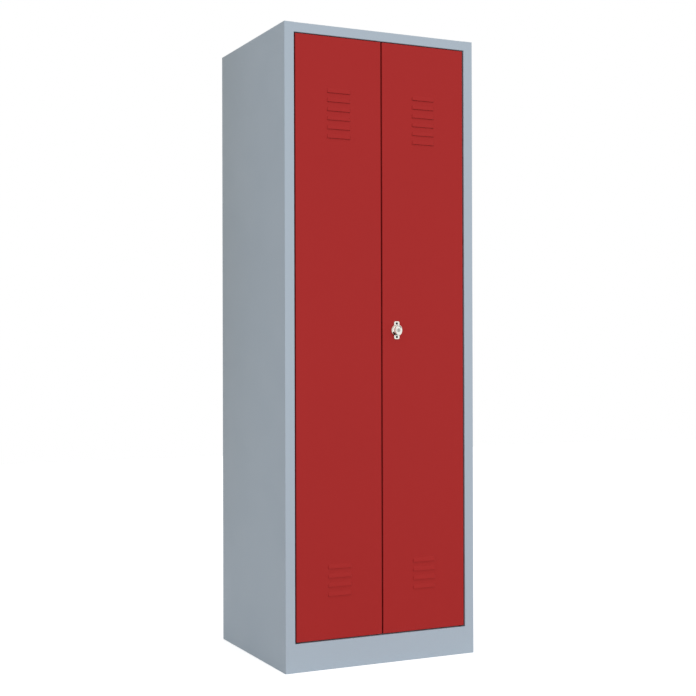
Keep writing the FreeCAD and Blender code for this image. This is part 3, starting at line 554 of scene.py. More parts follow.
def side_sheet(hand):
    """One side, right for 1 and left for -1."""
    sheet_line = [
        (hand * (X_SIDE - REAR_FLANGE), Y_BACK), (hand * X_SIDE, Y_BACK),
        (hand * X_SIDE, Y_FRONT), (hand * OPEN_X, Y_FRONT),
    ]
    post_line = sheet_line + [(hand * OPEN_X, Y_STOP), (hand * (OPEN_X + POST_LIP), Y_STOP)]
    name = "right_side" if hand > 0 else "left_side"
    panel = folded(name, "Z", post_line, -hand, OPEN_Z0, OPEN_Z1)
    foot_x = across(hand * (X_SIDE - FOOT_FLANGE), hand * (X_SIDE - SHEET / 2))
    head_x = across(hand * (X_SIDE - FOOT_FLANGE), hand * (X_SIDE - SHEET))
    y0, y1 = Y_FRONT + FOOT_FLANGE, Y_BACK - FOOT_FLANGE - FLANGE_STOP
    carve(panel, [
        folded("below", "Z", sheet_line, -hand, 0, OPEN_Z0),
        folded("above", "Z", sheet_line, -hand, OPEN_Z1, HEIGHT),
        block("foot", (foot_x[0], y0, 0), (foot_x[1], y1, SHEET)),
        block("ceiling", (head_x[0], y0, HEIGHT - 2 * SHEET), (head_x[1], y1, HEIGHT - SHEET)),
    ], "UNION")
    return panel


for hand, node in ((-1, "left_side_panel"), (1, "right_side_panel")):
    done(side_sheet(hand), "carcass", node)

# %% Lines of pivots, rods and bolts
HOLE_REACH = 0.003
FRAME_REACH = 0.002
PIN_HEAD_R = 0.005
PIN_HOLE_R = 0.00302
STRIKE_R = 0.00475
pin_low, pin_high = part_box("top_pivot_pins")
PIVOT_X = pin_high.x - PIN_HEAD_R
PIVOT_Y = (pin_low.y + pin_high.y) / 2
bolt_low, bolt_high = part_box("top_bolt")
BOLT_X = (bolt_low.x + bolt_high.x) / 2
ROD_R = 0.004
upper_low, upper_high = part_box("upper_rod")
lower_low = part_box("lower_rod")[0]
ROD_Y = (upper_low.y + upper_high.y) / 2
LOCK = Vector(next(j for j in frame["joints"] if j["name"] == "knob_turn")["pos_m"])
ROD_SHIFT = 0.01194975
UPPER_X = LOCK.x - ROD_SHIFT
LOWER_X = LOCK.x + ROD_SHIFT


def drills(places, z, reach):
    """Upright drills through a height, for the pivot pins and for the tips of rods and bolts."""
    z0, z1 = z - reach, z + reach
    return joined([bar("drill", "Z", (x, y, z0), (x, y, z1), r, SMALL_SIDES) for x, y, r in places])


def frame_holes(rod_x):
    """Places and radii of the holes in the header or the sill."""
    pins = [(x, PIVOT_Y, PIN_HOLE_R) for x in (-PIVOT_X, PIVOT_X)]
    return pins + [(x, ROD_Y, STRIKE_R) for x in (BOLT_X, rod_x)]


print("pivots at x", round(PIVOT_X, 5), "rods at x", round(UPPER_X, 5), round(LOWER_X, 5))

# %% Top with header, plinth and back
header_line = [
    (Y_STOP, OPEN_Z1 - STOP_H), (Y_STOP, OPEN_Z1), (Y_FRONT, OPEN_Z1),
    (Y_FRONT, HEIGHT), (top_high.y, HEIGHT),
]
top = folded("top_with_header", "X", header_line, -1, -OPEN_X, OPEN_X)
wing_y0 = Y_FRONT + SHEET
wings = []
for x0, x1 in ((-X_SIDE + SHEET, -OPEN_X), (OPEN_X, X_SIDE - SHEET)):
    wings.append(block("wing", (x0, wing_y0, HEIGHT - SHEET), (x1, top_high.y, HEIGHT)))
carve(top, wings, "UNION")
carve(top, [drills(frame_holes(UPPER_X), OPEN_Z1, FRAME_REACH)])
done(top, "carcass", "top_panel")

plinth_line = [
    (Y_FRONT + FOOT_FLANGE, 0), (Y_FRONT, 0), (Y_FRONT, OPEN_Z0),
    (Y_STOP, OPEN_Z0), (Y_STOP, Z_FLOOR),
]
plinth = folded("plinth", "X", plinth_line, -1, -OPEN_X, OPEN_X)
carve(plinth, [drills(frame_holes(LOWER_X), OPEN_Z0, FRAME_REACH)])
done(plinth, "carcass", "plinth_front")

back_line = [(back_low.y, 0), (back_high.y, 0), (back_high.y, back_high.z), (back_low.y, back_high.z)]
back = folded("back_sheet", "X", back_line, 1, back_low.x, back_high.x)
wall = next(m for m in frame["record"]["mounts"] if m["name"] == "wall_fixing")
WALL_Z = wall["pos_m"][2]
WALL_X = wall["dims"]["spacing_x_mm"] / 2 * MM
WALL_R = wall["dims"]["hole_r_mm"] * MM
wall_drills = []
for x in (-WALL_X, WALL_X):
    inner_end = (x, back_high.y - HOLE_REACH, WALL_Z)
    outer_end = (x, back_high.y + HOLE_REACH, WALL_Z)
    wall_drills.append(bar("drill", "Y", inner_end, outer_end, WALL_R))
carve(back, [joined(wall_drills)])
done(back, "carcass", "back_panel")

# %% Partition with its mullion
MULLION_T = 0.012
HEAD_LAP = 0.0001
half = -part_low.x
mullion_back = Y_STOP + MULLION_T
part_face = SHEET / 2
partition_line = [
    (-half, mullion_back), (-half, Y_STOP), (half, Y_STOP), (half, mullion_back),
    (part_face, mullion_back), (part_face, part_high.y - SHEET), (part_high.x, part_high.y - SHEET),
]
MULLION_TOP = OPEN_Z1 - STOP_H
partition = folded("partition", "Z", partition_line, 1, Z_FLOOR, MULLION_TOP)
head_low = (-part_face, mullion_back + FOLD, MULLION_TOP - HEAD_LAP)
carve(partition, [block("head", head_low, (part_face, part_high.y - FOLD, part_high.z))], "UNION")
done(partition, "carcass", "centre_partition")

# %% [markdown]
# Trays. Floor, shelves and doors are pressed trays: a flat face, four sides and a narrow lip turned
# in. A cube at the tray's size already has the sides. The open face is inset by the lip's width and
# its middle is deleted, then all folds get a round bevel and Solidify adds the sheet's thickness.

# %% Tray surface
def tray_surface(name, low, high, lip, mouth):
    """An open tray as a bare surface; the mouth is the direction that its open side faces."""
    piece = block(name, low, high)
    take(piece, "EDIT")
    mouth = Vector(mouth)
    choose("FACE", lambda face: face.normal.dot(mouth) > FACING)
    bpy.ops.mesh.inset(thickness=lip)
    bpy.ops.mesh.delete(type="FACE")
    choose("EDGE", folds)
    bpy.ops.mesh.bevel(offset=FOLD, segments=FOLD_STEPS, affect="EDGES")
    bpy.ops.object.mode_set(mode="OBJECT")
    return piece


def tray(name, node, lip):
    low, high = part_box(node)
    piece = tray_surface(name, low, high, lip, (0, 0, -1))
    thickened(piece)
    return piece


# %% Floor and shelves
FLOOR_LIP = 0.010
SHELF_LIP = 0.012
done(tray("floor", "floor_tray", FLOOR_LIP), "carcass", "floor_tray")
done(tray("hat_shelf_tray", "hat_shelf", SHELF_LIP), "carcass", "hat_shelf")
first_shelf = tray("shelf_tray_1", "shelf_1", SHELF_LIP)
shelves = [first_shelf]
for number in (2, 3, 4):
    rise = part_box(f"shelf_{number}")[0].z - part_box("shelf_1")[0].z
    shelves.append(shifted(first_shelf, f"shelf_tray_{number}", (0, 0, rise)))
for number, shelf in enumerate(shelves, start=1):
    done(shelf, "carcass", f"shelf_{number}")

# %% [markdown]
# One louvre. A press tool cuts the door skin along a straight line and pushes the sheet above it out
# into a hood with rounded ends. The hood's section is an arc, drawn by spinning one vertex. The arc is
# extruded to the straight run, and spinning it a quarter turn at each end gives the domes. A flat
# collar round the root and a small bevel make the soft edge that the tool leaves. Last, the skin round
# the hood is filled in out to a rectangle, so that louvres can be stacked like tiles.

# %% Louvre tile
LOUVRE_W = 0.072
LOUVRE_H = 0.012
LOUVRE_OUT = 0.0025
LOUVRE_PITCH = 0.0254
COLLAR = 0.0016
ROOT_ROUND = 0.0010
HOOD_R = (LOUVRE_H**2 + LOUVRE_OUT**2) / (2 * LOUVRE_OUT)
HOOD_BACK = HOOD_R - LOUVRE_OUT
HOOD_ANGLE = math.asin(LOUVRE_H / HOOD_R)
HOOD_STEPS = 8
ROOT_ANGLE = 0.2
LOUVRE_RUN = LOUVRE_W - 2 * LOUVRE_OUT
SLIT_HALF = LOUVRE_W / 2 + ROOT_ROUND
TILE_MARGIN = 0.006
TILE_HALF = LOUVRE_W / 2 + TILE_MARGIN
TILE_DROP = 0.005
TILE_Z = 1.0
SEED = 0.001
CLOSE = 0.0002
DOOR_T = 0.020
SKIN_Y = door_high.y - DOOR_T
SKIN_IN = SKIN_Y + SHEET
DOOR_X = (door_low.x + door_high.x) / 2


def on_skin(edge):
    return all(near(v.co.y, SKIN_Y) for v in edge.verts)


def hood_surface(name, mouth_z):
    """The hood's bare surface with its collar on the skin plane, open below."""
    def root(edge):
        return not edge.is_boundary and on_skin(edge) and edge.calc_face_angle() > ROOT_ANGLE

    x0, x1 = DOOR_X - LOUVRE_RUN / 2, DOOR_X + LOUVRE_RUN / 2
    fresh()
    bpy.ops.mesh.primitive_plane_add(size=SEED, location=(x0, SKIN_Y - LOUVRE_OUT, mouth_z))
    piece = named(name, (1, 1, 1))
    take(piece, "EDIT")
    bpy.ops.mesh.select_all(action="SELECT")
    bpy.ops.mesh.merge(type="CENTER")
    choose("VERT", lambda vertex: True)
    arc_centre = (x0, SKIN_Y + HOOD_BACK, mouth_z)
    bpy.ops.mesh.spin(steps=HOOD_STEPS, angle=HOOD_ANGLE, center=arc_centre, axis=(1, 0, 0))
    choose("EDGE", lambda edge: True)
    bpy.ops.mesh.extrude_edges_move(TRANSFORM_OT_translate={"value": (LOUVRE_RUN, 0, 0)})
    for x, turn in ((x0, math.pi / 2), (x1, -math.pi / 2)):
        choose("EDGE", lambda edge: all(near(v.co.x, x) for v in edge.verts))
        bpy.ops.mesh.spin(steps=HOOD_STEPS, angle=turn, center=(x, SKIN_Y, mouth_z), axis=(0, 0, 1))
    merge_doubles()
    choose("EDGE", lambda edge: edge.is_boundary and on_skin(edge))
    bpy.ops.mesh.extrude_edges_move(TRANSFORM_OT_translate={"value": (0, 0, 0)})
    bpy.ops.transform.resize(
        value=((LOUVRE_W + 2 * COLLAR) / LOUVRE_W, 1, (LOUVRE_H + COLLAR) / LOUVRE_H),
        center_override=(DOOR_X, SKIN_Y, mouth_z),
    )
    choose("EDGE", root)
    bpy.ops.mesh.bevel(offset=ROOT_ROUND, segments=3, affect="EDGES")
    merge_doubles()
    return piece


def louvre_tile(name, mouth_z):
    """The hood with a rectangle of skin round it and an open slit under it."""
    piece = hood_surface(name, mouth_z)

    def slit_end(vertex):
        x, y, z = vertex.co
        return near(abs(x - DOOR_X), SLIT_HALF, CLOSE) and near(y, SKIN_Y) and near(z, mouth_z)

    choose("VERT", slit_end)
    bpy.ops.mesh.edge_face_add()
    middle = (DOOR_X, SKIN_Y, mouth_z - TILE_DROP + LOUVRE_PITCH / 2)
    bpy.ops.mesh.select_all(action="DESELECT")
    bpy.ops.mesh.primitive_plane_add(size=1, location=middle, rotation=(math.pi / 2, 0, 0))
    bpy.ops.transform.resize(value=(2 * TILE_HALF, 1, LOUVRE_PITCH), center_override=middle)
    bpy.ops.mesh.delete(type="ONLY_FACE")
    choose("EDGE", lambda edge: on_skin(edge) and len(edge.link_faces) < 2)
    bpy.ops.mesh.fill(use_beauty=True)
    bpy.ops.object.mode_set(mode="OBJECT")
    return piece


first_tile = louvre_tile("louvre", TILE_Z)
tile_size = [round(side, 4) for side in first_tile.dimensions]
print("louvre tile:", tile_size, "faces:", len(first_tile.data.polygons))

# %% [markdown]
# The doors. The louvre tile is copied to all its places and joined to the door's tray, whose front
# face is deleted and then filled in round the two stacks of tiles. So skin and hoods are one sheet, as
# on the real door, with an open slit under each hood. A boolean union of closed hoods would be
# quicker, but it leaves no slit. The left door is a mirrored copy, made before the sheet gets its
# thickness, because a mirrored shell is easily turned inside out.

# %% Door surfaces
DOOR_LIP = 0.014
LOWER_RISE = 0.1205
UPPER_DROP = 0.1575
FLAT_FRONT = 0.99
lower_mouths = [door_low.z + LOWER_RISE + k * LOUVRE_PITCH for k in range(4)]
upper_mouths = [door_high.z - UPPER_DROP - k * LOUVRE_PITCH for k in range(6)]
mouths = lower_mouths + upper_mouths
tiles = [shifted(first_tile, "louvre_copy", (0, 0, mouth - TILE_Z)) for mouth in mouths]
bpy.data.objects.remove(first_tile)
skin_corner = (door_low.x, SKIN_Y, door_low.z)
right_door = tray_surface("right_door_sheet", skin_corner, door_high, DOOR_LIP, (0, 1, 0))
take(right_door, "EDIT")
choose("FACE", lambda face: face.normal.y < -FLAT_FRONT)
bpy.ops.mesh.delete(type="FACE")
joined([right_door] + tiles)
take(right_door, "EDIT")
merge_doubles()


def skin_rim(edge):
    """A test for the edges round the hole in the skin, outside the stacks of tiles."""
    outside = all(abs(v.co.x - DOOR_X) > TILE_HALF - SAME for v in edge.verts)
    return edge.is_boundary and on_skin(edge) and outside


choose("EDGE", skin_rim)
bpy.ops.mesh.fill(use_beauty=True)


def turned_out(piece):
    """Recalculates the normals of an open sheet so that the door's skin faces the front."""
    recalculated(piece)
    skin = max(piece.data.polygons, key=lambda face: face.area)
    if skin.normal.y > 0:
        bpy.ops.object.mode_set(mode="EDIT")
        bpy.ops.mesh.flip_normals()
        bpy.ops.object.mode_set(mode="OBJECT")


turned_out(right_door)
left_door = mirrored(right_door, "left_door_sheet")
turned_out(left_door)
skin_area = sum(face.area for face in right_door.data.polygons if face.normal.y < -FLAT_FRONT)
print("door skin in square metres:", round(skin_area, 4))

# %% Door sheets with their holes
BUSH_HOLE_R = 0.00452
ROD_HOLE_R = 0.0044
LOCK_HOLE_R = 0.00802
SCREW_HOLE_R = 0.00205
SCREW_RISE = 0.0192


def end_drills(hand, rod_x, z):
    """Drills for a door's bush and for a rod or bolt, through one end of the door."""
    places = [(hand * PIVOT_X, PIVOT_Y, BUSH_HOLE_R), (rod_x, ROD_Y, ROD_HOLE_R)]
    return drills(places, z, HOLE_REACH)


def lock_drill(rise, radius, y0, y1, name="drill"):
    """A drill or pin along Y through the lock, at a rise above its centre."""
    z = LOCK.z + rise
    return bar(name, "Y", (LOCK.x, y0, z), (LOCK.x, y1, z), radius, FINE_SIDES)


for sheet, hand, low_x, high_x in ((right_door, 1, LOWER_X, UPPER_X), (left_door, -1, BOLT_X, BOLT_X)):
    thickened(sheet)
    carve(sheet, [end_drills(hand, low_x, door_low.z), end_drills(hand, high_x, door_high.z)])
skin_y0, skin_y1 = SKIN_Y - HOLE_REACH, SKIN_IN + HOLE_REACH
lock_drills = [lock_drill(0, LOCK_HOLE_R, skin_y0, skin_y1)]
lock_drills += [lock_drill(rise, SCREW_HOLE_R, skin_y0, skin_y1) for rise in (-SCREW_RISE, SCREW_RISE)]
carve(right_door, [joined(lock_drills)])
done(right_door, "right_door", "right_door_panel")
done(left_door, "left_door", "left_door_panel")

# %% Door stiffeners
STIFFENER_HALF = 0.025
STIFFENER_FLANGE = 0.014
for hand, side in ((1, "right"), (-1, "left")):
    low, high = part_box(f"{side}_door_stiffener")
    web_y = high.y - SHEET
    near_x, far_x = DOOR_X - STIFFENER_HALF, DOOR_X + STIFFENER_HALF
    hat_line = [
        (near_x - STIFFENER_FLANGE, SKIN_IN), (near_x, SKIN_IN), (near_x, web_y),
        (far_x, web_y), (far_x, SKIN_IN), (far_x + STIFFENER_FLANGE, SKIN_IN),
    ]
    hat_line = [(hand * x, y) for x, y in hat_line]
    hat = folded(f"{side}_stiffener_hat", "Z", hat_line, hand, low.z, high.z)
    done(hat, f"{side}_door", f"{side}_door_stiffener")

# %% [markdown]
# Rods, bolts and their guides. They run inside the doors and show when a door is open. A lock rod is a
# round bar with a flat fork welded to it, and a hand bolt is a round bar with a finger knob. Each starts
# as a cylinder whose tip edge is bevelled, and the rest is welded on by boolean unions, as a welder
# would. A curve with a round profile would also give the bar, but not the fork's welded joint.

# %% Bars with a tip
ROD_TIP = 0.001
ROD_SIDES = 40
WELD_ROUND = 0.0004
CUT_PAST = 0.001


def tipped_bar(name, x, z_root, z_tip):
    """A round bar along Z with a chamfered tip."""
    low, high = across(z_root, z_tip)
    rod = bar(name, "Z", (x, ROD_Y, low), (x, ROD_Y, high), ROD_R, ROD_SIDES)
    rounded_edges(rod, flat_at("Z", z_tip), ROD_TIP, 2)
    rounded_edges(rod, flat_at("Z", z_root), WELD_ROUND, 2)
    return rod


# %% Lock rods
FORK_T = 0.004
FORK_ARM = 0.004
FORK_IN = 0.0065
FORK_END = 0.0176
FORK_OUT = 0.0216
SLOT_HALF = 0.0036
CRANK_Z = 0.0099


def lock_rod(name, x, z_tip, up):
    """A rod with a flat fork that is open towards the spindle."""
    away = 1 if x > LOCK.x else -1
    fork_z = LOCK.z - up * CRANK_Z
    arm = SLOT_HALF + FORK_ARM
    y0, y1 = ROD_Y - FORK_T / 2, ROD_Y + FORK_T / 2
    x0, x1 = across(LOCK.x + away * FORK_IN, LOCK.x + away * FORK_OUT)
    fork = block("fork", (x0, y0, fork_z - arm), (x1, y1, fork_z + arm))
    slot_x0, slot_x1 = across(LOCK.x + away * (FORK_IN - CUT_PAST), LOCK.x + away * FORK_END)
    slot_low = (slot_x0, y0 - CUT_PAST, fork_z - SLOT_HALF)
    carve(fork, [block("slot", slot_low, (slot_x1, y1 + CUT_PAST, fork_z + SLOT_HALF))])
    rounded_edges(fork, folds, WELD_ROUND, 2)
    rod = tipped_bar(name, x, fork_z + up * (SLOT_HALF + FORK_ARM / 2), z_tip)
    carve(rod, [fork], "UNION")
    return rod


done(lock_rod("upper_lock_rod", UPPER_X, upper_high.z, 1), "upper_rod", "upper_rod")
done(lock_rod("lower_lock_rod", LOWER_X, lower_low.z, -1), "lower_rod", "lower_rod")

# %% Hand bolts
FINGER_R = 0.0035
FINGER_KNOB_R = 0.006
FINGER_KNOB_L = 0.005
FINGER_ROUND = 0.001
FINGER_DROP = 0.064
FINGER_Z = door_high.z - FINGER_DROP
low_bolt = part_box("bottom_bolt")[0]


def hand_bolt(name):
    """The top bolt: a bar with a finger knob that points into the cabinet."""
    bolt = tipped_bar(name, BOLT_X, bolt_low.z, bolt_high.z)
    end_y = bolt_high.y
    knob_y = end_y - FINGER_KNOB_L
    finger_end = (BOLT_X, end_y - FINGER_KNOB_L / 2, FINGER_Z)
    finger = bar("finger", "Y", (BOLT_X, ROD_Y, FINGER_Z), finger_end, FINGER_R, ROD_SIDES)
    grip = bar("grip", "Y", (BOLT_X, knob_y, FINGER_Z), (BOLT_X, end_y, FINGER_Z), FINGER_KNOB_R)
    rounded_edges(grip, folds, FINGER_ROUND, 4)
    carve(bolt, [finger, grip], "UNION")
    return bolt


top_hand_bolt = hand_bolt("top_hand_bolt")
bottom_hand_bolt = mirrored(top_hand_bolt, "bottom_hand_bolt", "Z", (bolt_high.z + low_bolt.z) / 2)
recalculated(bottom_hand_bolt)
done(top_hand_bolt, "top_bolt", "top_bolt")
done(bottom_hand_bolt, "bottom_bolt", "bottom_bolt")

# %% Nylon guides
GUIDE_W = 0.018
GUIDE_H = 0.016
GUIDE_LUG_W = 0.042
GUIDE_LUG_T = 0.004
GUIDE_WALL = 0.003
GUIDE_BACK = ROD_Y + ROD_R + GUIDE_WALL
GUIDE_ROUND = 0.0015
STUD_X = 0.015
STUD_HOLE_R = 0.00205
STUD_SIDES = 24
GUIDE_BORE_R = 0.00405
MOULD_ROUND = 0.0006
BOLT_GUIDES_IN = (0.022, 0.088)
ROD_GUIDE_NEAR = 0.150
ROD_GUIDE_IN = 0.060


def guide_at_origin(name):
    """One moulded guide at x and z of zero: a block with a bore, and a lug on each side."""
    half_h = GUIDE_H / 2
    guide = block(name, (-GUIDE_W / 2, SKIN_IN, -half_h), (GUIDE_W / 2, GUIDE_BACK, half_h))
    rounded_edges(guide, flat_at("Y", GUIDE_BACK), GUIDE_ROUND, 4)
    lug_y = SKIN_IN + GUIDE_LUG_T
    lugs = block("lugs", (-GUIDE_LUG_W / 2, SKIN_IN, -half_h), (GUIDE_LUG_W / 2, lug_y, half_h))
    rounded_edges(lugs, flat_at("Y", lug_y), MOULD_ROUND)
    carve(guide, [lugs], "UNION")
    holes = [bar("bore", "Z", (0, ROD_Y, -GUIDE_H), (0, ROD_Y, GUIDE_H), GUIDE_BORE_R)]
    for x in (-STUD_X, STUD_X):
        hole_end = (x, lug_y + 2 * CUT_PAST, 0)
        holes.append(bar("stud_hole", "Y", (x, SKIN_Y, 0), hole_end, STUD_HOLE_R, STUD_SIDES))
    carve(guide, holes)
    return guide


bolt_guide_places = [(BOLT_X, door_high.z - d) for d in BOLT_GUIDES_IN]
bolt_guide_places += [(BOLT_X, door_low.z + d) for d in BOLT_GUIDES_IN]
rod_guide_places = [(UPPER_X, LOCK.z + ROD_GUIDE_NEAR), (UPPER_X, door_high.z - ROD_GUIDE_IN)]
rod_guide_places += [(LOWER_X, LOCK.z - ROD_GUIDE_NEAR), (LOWER_X, door_low.z + ROD_GUIDE_IN)]
first_guide = guide_at_origin("guide")
for name, body, node, places in (
    ("moulded_bolt_guides", "left_door", "bolt_guides", bolt_guide_places),
    ("moulded_rod_guides", "right_door", "rod_guides", rod_guide_places),
):
    guides = joined([shifted(first_guide, name, (x, 0, z)) for x, z in places])
    done(guides, body, node)
bpy.data.objects.remove(first_guide)

# %% [markdown]
# The clothes rail is a tube in two sockets. A cylinder's end faces are deleted and Solidify gives the
# wall, because a tube bent from strip is a sheet too.

# %% Clothes rail
RAIL_WALL = 0.0012
rail_low, rail_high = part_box("clothes_rail")
rail_middle = (rail_low + rail_high) / 2
rail_start = (rail_low.x, rail_middle.y, rail_middle.z)
rail_end = (rail_high.x, rail_middle.y, rail_middle.z)
rail = bar("rail_tube", "X", rail_start, rail_end, (rail_high.z - rail_low.z) / 2, FINE_SIDES)
take(rail, "EDIT")
choose("FACE", lambda face: abs(face.normal.x) > FACING)
bpy.ops.mesh.delete(type="FACE")
thickened(rail, RAIL_WALL)
done(rail, "carcass", "clothes_rail")

# %% [markdown]
# The lock's rosette is a cast plate: a disc with a squared ear for a screw above and below. A block with
# bevelled corners makes the ears and a boolean union adds the disc. Both start too thick, by different
# amounts, and bisecting trims them, because a union of faces in one plane leaves torn ones. The four
# notches are then edges of their own, so a bevel fills them with a fillet, and another one rounds the
# front. The boss is a cone, welded on by a union.

# %% Rosette
ROSETTE_R = 0.0165
EAR_HALF_W = 0.0085
EAR_ROUND = 0.0045
NOTCH_ROUND = 0.004
ROSETTE_ROUND = 0.0008
TRIM = 0.0005
rosette_low, rosette_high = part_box("rosette")
BOSS_H = 0.0025
ROSETTE_Y = rosette_low.y + BOSS_H
BOSS_BASE_R = 0.0135
BOSS_TOP_R = 0.0110
BOSS_ROUND = 0.0006
DRILL_FRONT = ROSETTE_Y - 2 * BOSS_H
RECESS_R = 0.0035
SCREW_SINK = 0.0022


def upright_at(rise):
    """A test for edges along Y at a height above or below the lock."""
    def test(edge):
        a, b = (v.co for v in edge.verts)
        return not near(a.y, b.y) and all(near(abs(c.z - LOCK.z), rise, CLOSE) for c in (a, b))
    return test


def eared_plate(name):
    """The disc and its ears as one plate, from the front of the plate to the door's skin."""
    low = (LOCK.x - EAR_HALF_W, ROSETTE_Y - 2 * TRIM, rosette_low.z)
    plate = block(name, low, (LOCK.x + EAR_HALF_W, SKIN_Y + 2 * TRIM, rosette_high.z))
    rounded_edges(plate, upright_at(rosette_high.z - LOCK.z), EAR_ROUND, 8)
    carve(plate, [lock_drill(0, ROSETTE_R, ROSETTE_Y - TRIM, SKIN_Y + TRIM)], "UNION")
    take(plate, "EDIT")
    for y, outwards in ((ROSETTE_Y, -1), (SKIN_Y, 1)):
        bpy.ops.mesh.select_all(action="SELECT")
        bpy.ops.mesh.bisect(plane_co=(0, y, 0), plane_no=(0, outwards, 0), use_fill=True, clear_outer=True)
    notch_rise = math.sqrt(ROSETTE_R**2 - EAR_HALF_W**2)
    rounded_edges(plate, upright_at(notch_rise), NOTCH_ROUND, 6)
    rounded_edges(plate, flat_at("Y", ROSETTE_Y), ROSETTE_ROUND, 4)
    return plate


def boss(name):
    """A cone whose foot reaches a little way into the plate."""
    slope = (BOSS_BASE_R - BOSS_TOP_R) / BOSS_H
    fresh()
    bpy.ops.mesh.primitive_cone_add(
        vertices=OVAL_SIDES, radius1=BOSS_BASE_R + slope * WELD_ROUND, radius2=BOSS_TOP_R,
        depth=BOSS_H + WELD_ROUND,
        location=(LOCK.x, ROSETTE_Y - (BOSS_H - WELD_ROUND) / 2, LOCK.z),
    )
    cone = named(name, (1, 1, 1), BAR_TURN["Y"])
    rounded_edges(cone, flat_at("Y", ROSETTE_Y - BOSS_H), BOSS_ROUND)
    return cone


rosette = eared_plate("rosette_plate")
carve(rosette, [boss("boss")], "UNION")
rosette_drills = [lock_drill(0, LOCK_HOLE_R, DRILL_FRONT, SKIN_IN)]
for rise in (-SCREW_RISE, SCREW_RISE):
    rosette_drills.append(lock_drill(rise, SCREW_HOLE_R, DRILL_FRONT, SKIN_IN))
    rosette_drills.append(lock_drill(rise, RECESS_R, DRILL_FRONT, ROSETTE_Y + SCREW_SINK))
carve(rosette, rosette_drills)
done(rosette, "right_door", "rosette")

# %% Rosette screws
HEAD_R = 0.0032
HEAD_T = 0.0020
HEAD_ROUND = 0.0007
DRIVE_HALF_L = 0.004
DRIVE_HALF_W = 0.00045
DRIVE_DEPTH = 0.0008
SCREW_R = 0.0020
SCREW_LAP = 0.0005
screw_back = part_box("rosette_screws")[1].y
seat_y = ROSETTE_Y + SCREW_SINK


def rosette_screw(name, rise):
    """A screw with a slightly rounded, slotted head."""
    head_y = seat_y - HEAD_T
    head = lock_drill(rise, HEAD_R, head_y, seat_y, name)
    rounded_edges(head, flat_at("Y", head_y), HEAD_ROUND, 4)
    z = LOCK.z + rise
    slot_low = (LOCK.x - DRIVE_HALF_L, head_y - CUT_PAST, z - DRIVE_HALF_W)
    slot_high = (LOCK.x + DRIVE_HALF_L, head_y + DRIVE_DEPTH, z + DRIVE_HALF_W)
    carve(head, [block("slot", slot_low, slot_high)])
    carve(head, [lock_drill(rise, SCREW_R, seat_y - SCREW_LAP, screw_back)], "UNION")
    return head


lower_screw = rosette_screw("lobe_screws", -SCREW_RISE)
upper_screw = shifted(lower_screw, "upper_screw", (0, 0, 2 * SCREW_RISE))
done(joined([lower_screw, upper_screw]), "right_door", "rosette_screws")

# %% [markdown]
# The knob is an oval grip with a raised rim round a dished face, on a neck that flares out to the grip.
# An oval cylinder is inset twice to make the rim and the dish, and its back face is extruded and
# narrowed to the round neck. A lathe profile can't give it, because the grip isn't round.

# %% Knob
KNOB_W = 0.022
KNOB_H = 0.030
KNOB_GRIP_T = 0.0065
KNOB_RIM = 0.0022
KNOB_RIM_ROUND = 0.0010
KNOB_DISH = 0.0012
KNOB_SLOPE = 0.0015
DISH_ROUND = 0.0004
SHOULDER_ROUND = 0.0006
KNOB_EDGE = 0.3
RIM_SHARE = 0.24
NECK_R = 0.008
knob_low, knob_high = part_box("knob")
grip_back = knob_low.y + KNOB_GRIP_T


def oval_knob(name):
    """The grip with its rim, its dish and its neck, still without its bores."""
    fresh()
    bpy.ops.mesh.primitive_cylinder_add(
        vertices=OVAL_SIDES, radius=1, depth=1, location=(LOCK.x, knob_low.y + KNOB_GRIP_T / 2, LOCK.z)
    )
    grip = named(name, (KNOB_W / 2, KNOB_H / 2, KNOB_GRIP_T), BAR_TURN["Y"])
    take(grip, "EDIT")
    choose("FACE", lambda face: face.normal.y > FACING)
    neck_l = knob_high.y - grip_back
    bpy.ops.mesh.extrude_region_move(TRANSFORM_OT_translate={"value": (0, neck_l, 0)})
    bpy.ops.transform.resize(
        value=(2 * NECK_R / KNOB_W, 1, 2 * NECK_R / KNOB_H), center_override=(LOCK.x, knob_high.y, LOCK.z)
    )
    choose("FACE", lambda face: face.normal.y < -FACING)
    bpy.ops.mesh.inset(thickness=KNOB_RIM)
    bpy.ops.mesh.inset(thickness=KNOB_SLOPE, depth=-KNOB_DISH)
    bpy.ops.object.mode_set(mode="OBJECT")

    def outline(edge):
        reach = [((v.co.x - LOCK.x) / KNOB_W)**2 + ((v.co.z - LOCK.z) / KNOB_H)**2 for v in edge.verts]
        return all(r > RIM_SHARE for r in reach)

    def creased(edge):
        return edge.calc_face_angle() > KNOB_EDGE

    front = flat_at("Y", knob_low.y)
    middle = flat_at("Y", grip_back)
    rounded_edges(grip, lambda edge: front(edge) and outline(edge), KNOB_RIM_ROUND, 5)
    rounded_edges(grip, lambda edge: front(edge) and not outline(edge) and creased(edge), DISH_ROUND)
    rounded_edges(grip, lambda edge: middle(edge) and creased(edge), SHOULDER_ROUND)
    return grip


PLUG_BORE_R = 0.00555
PLUG_PLAY = 0.00005
SOCKET_R = 0.00502
plug_low, plug_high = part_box("key_plug")
spindle_y0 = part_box("spindle")[0].y
knob = oval_knob("oval_knob")
carve(knob, [
    lock_drill(0, PLUG_BORE_R, knob_low.y - CUT_PAST, plug_high.y + PLUG_PLAY),
    lock_drill(0, SOCKET_R, spindle_y0, knob_high.y + CUT_PAST),
])
done(knob, "knob", "knob")

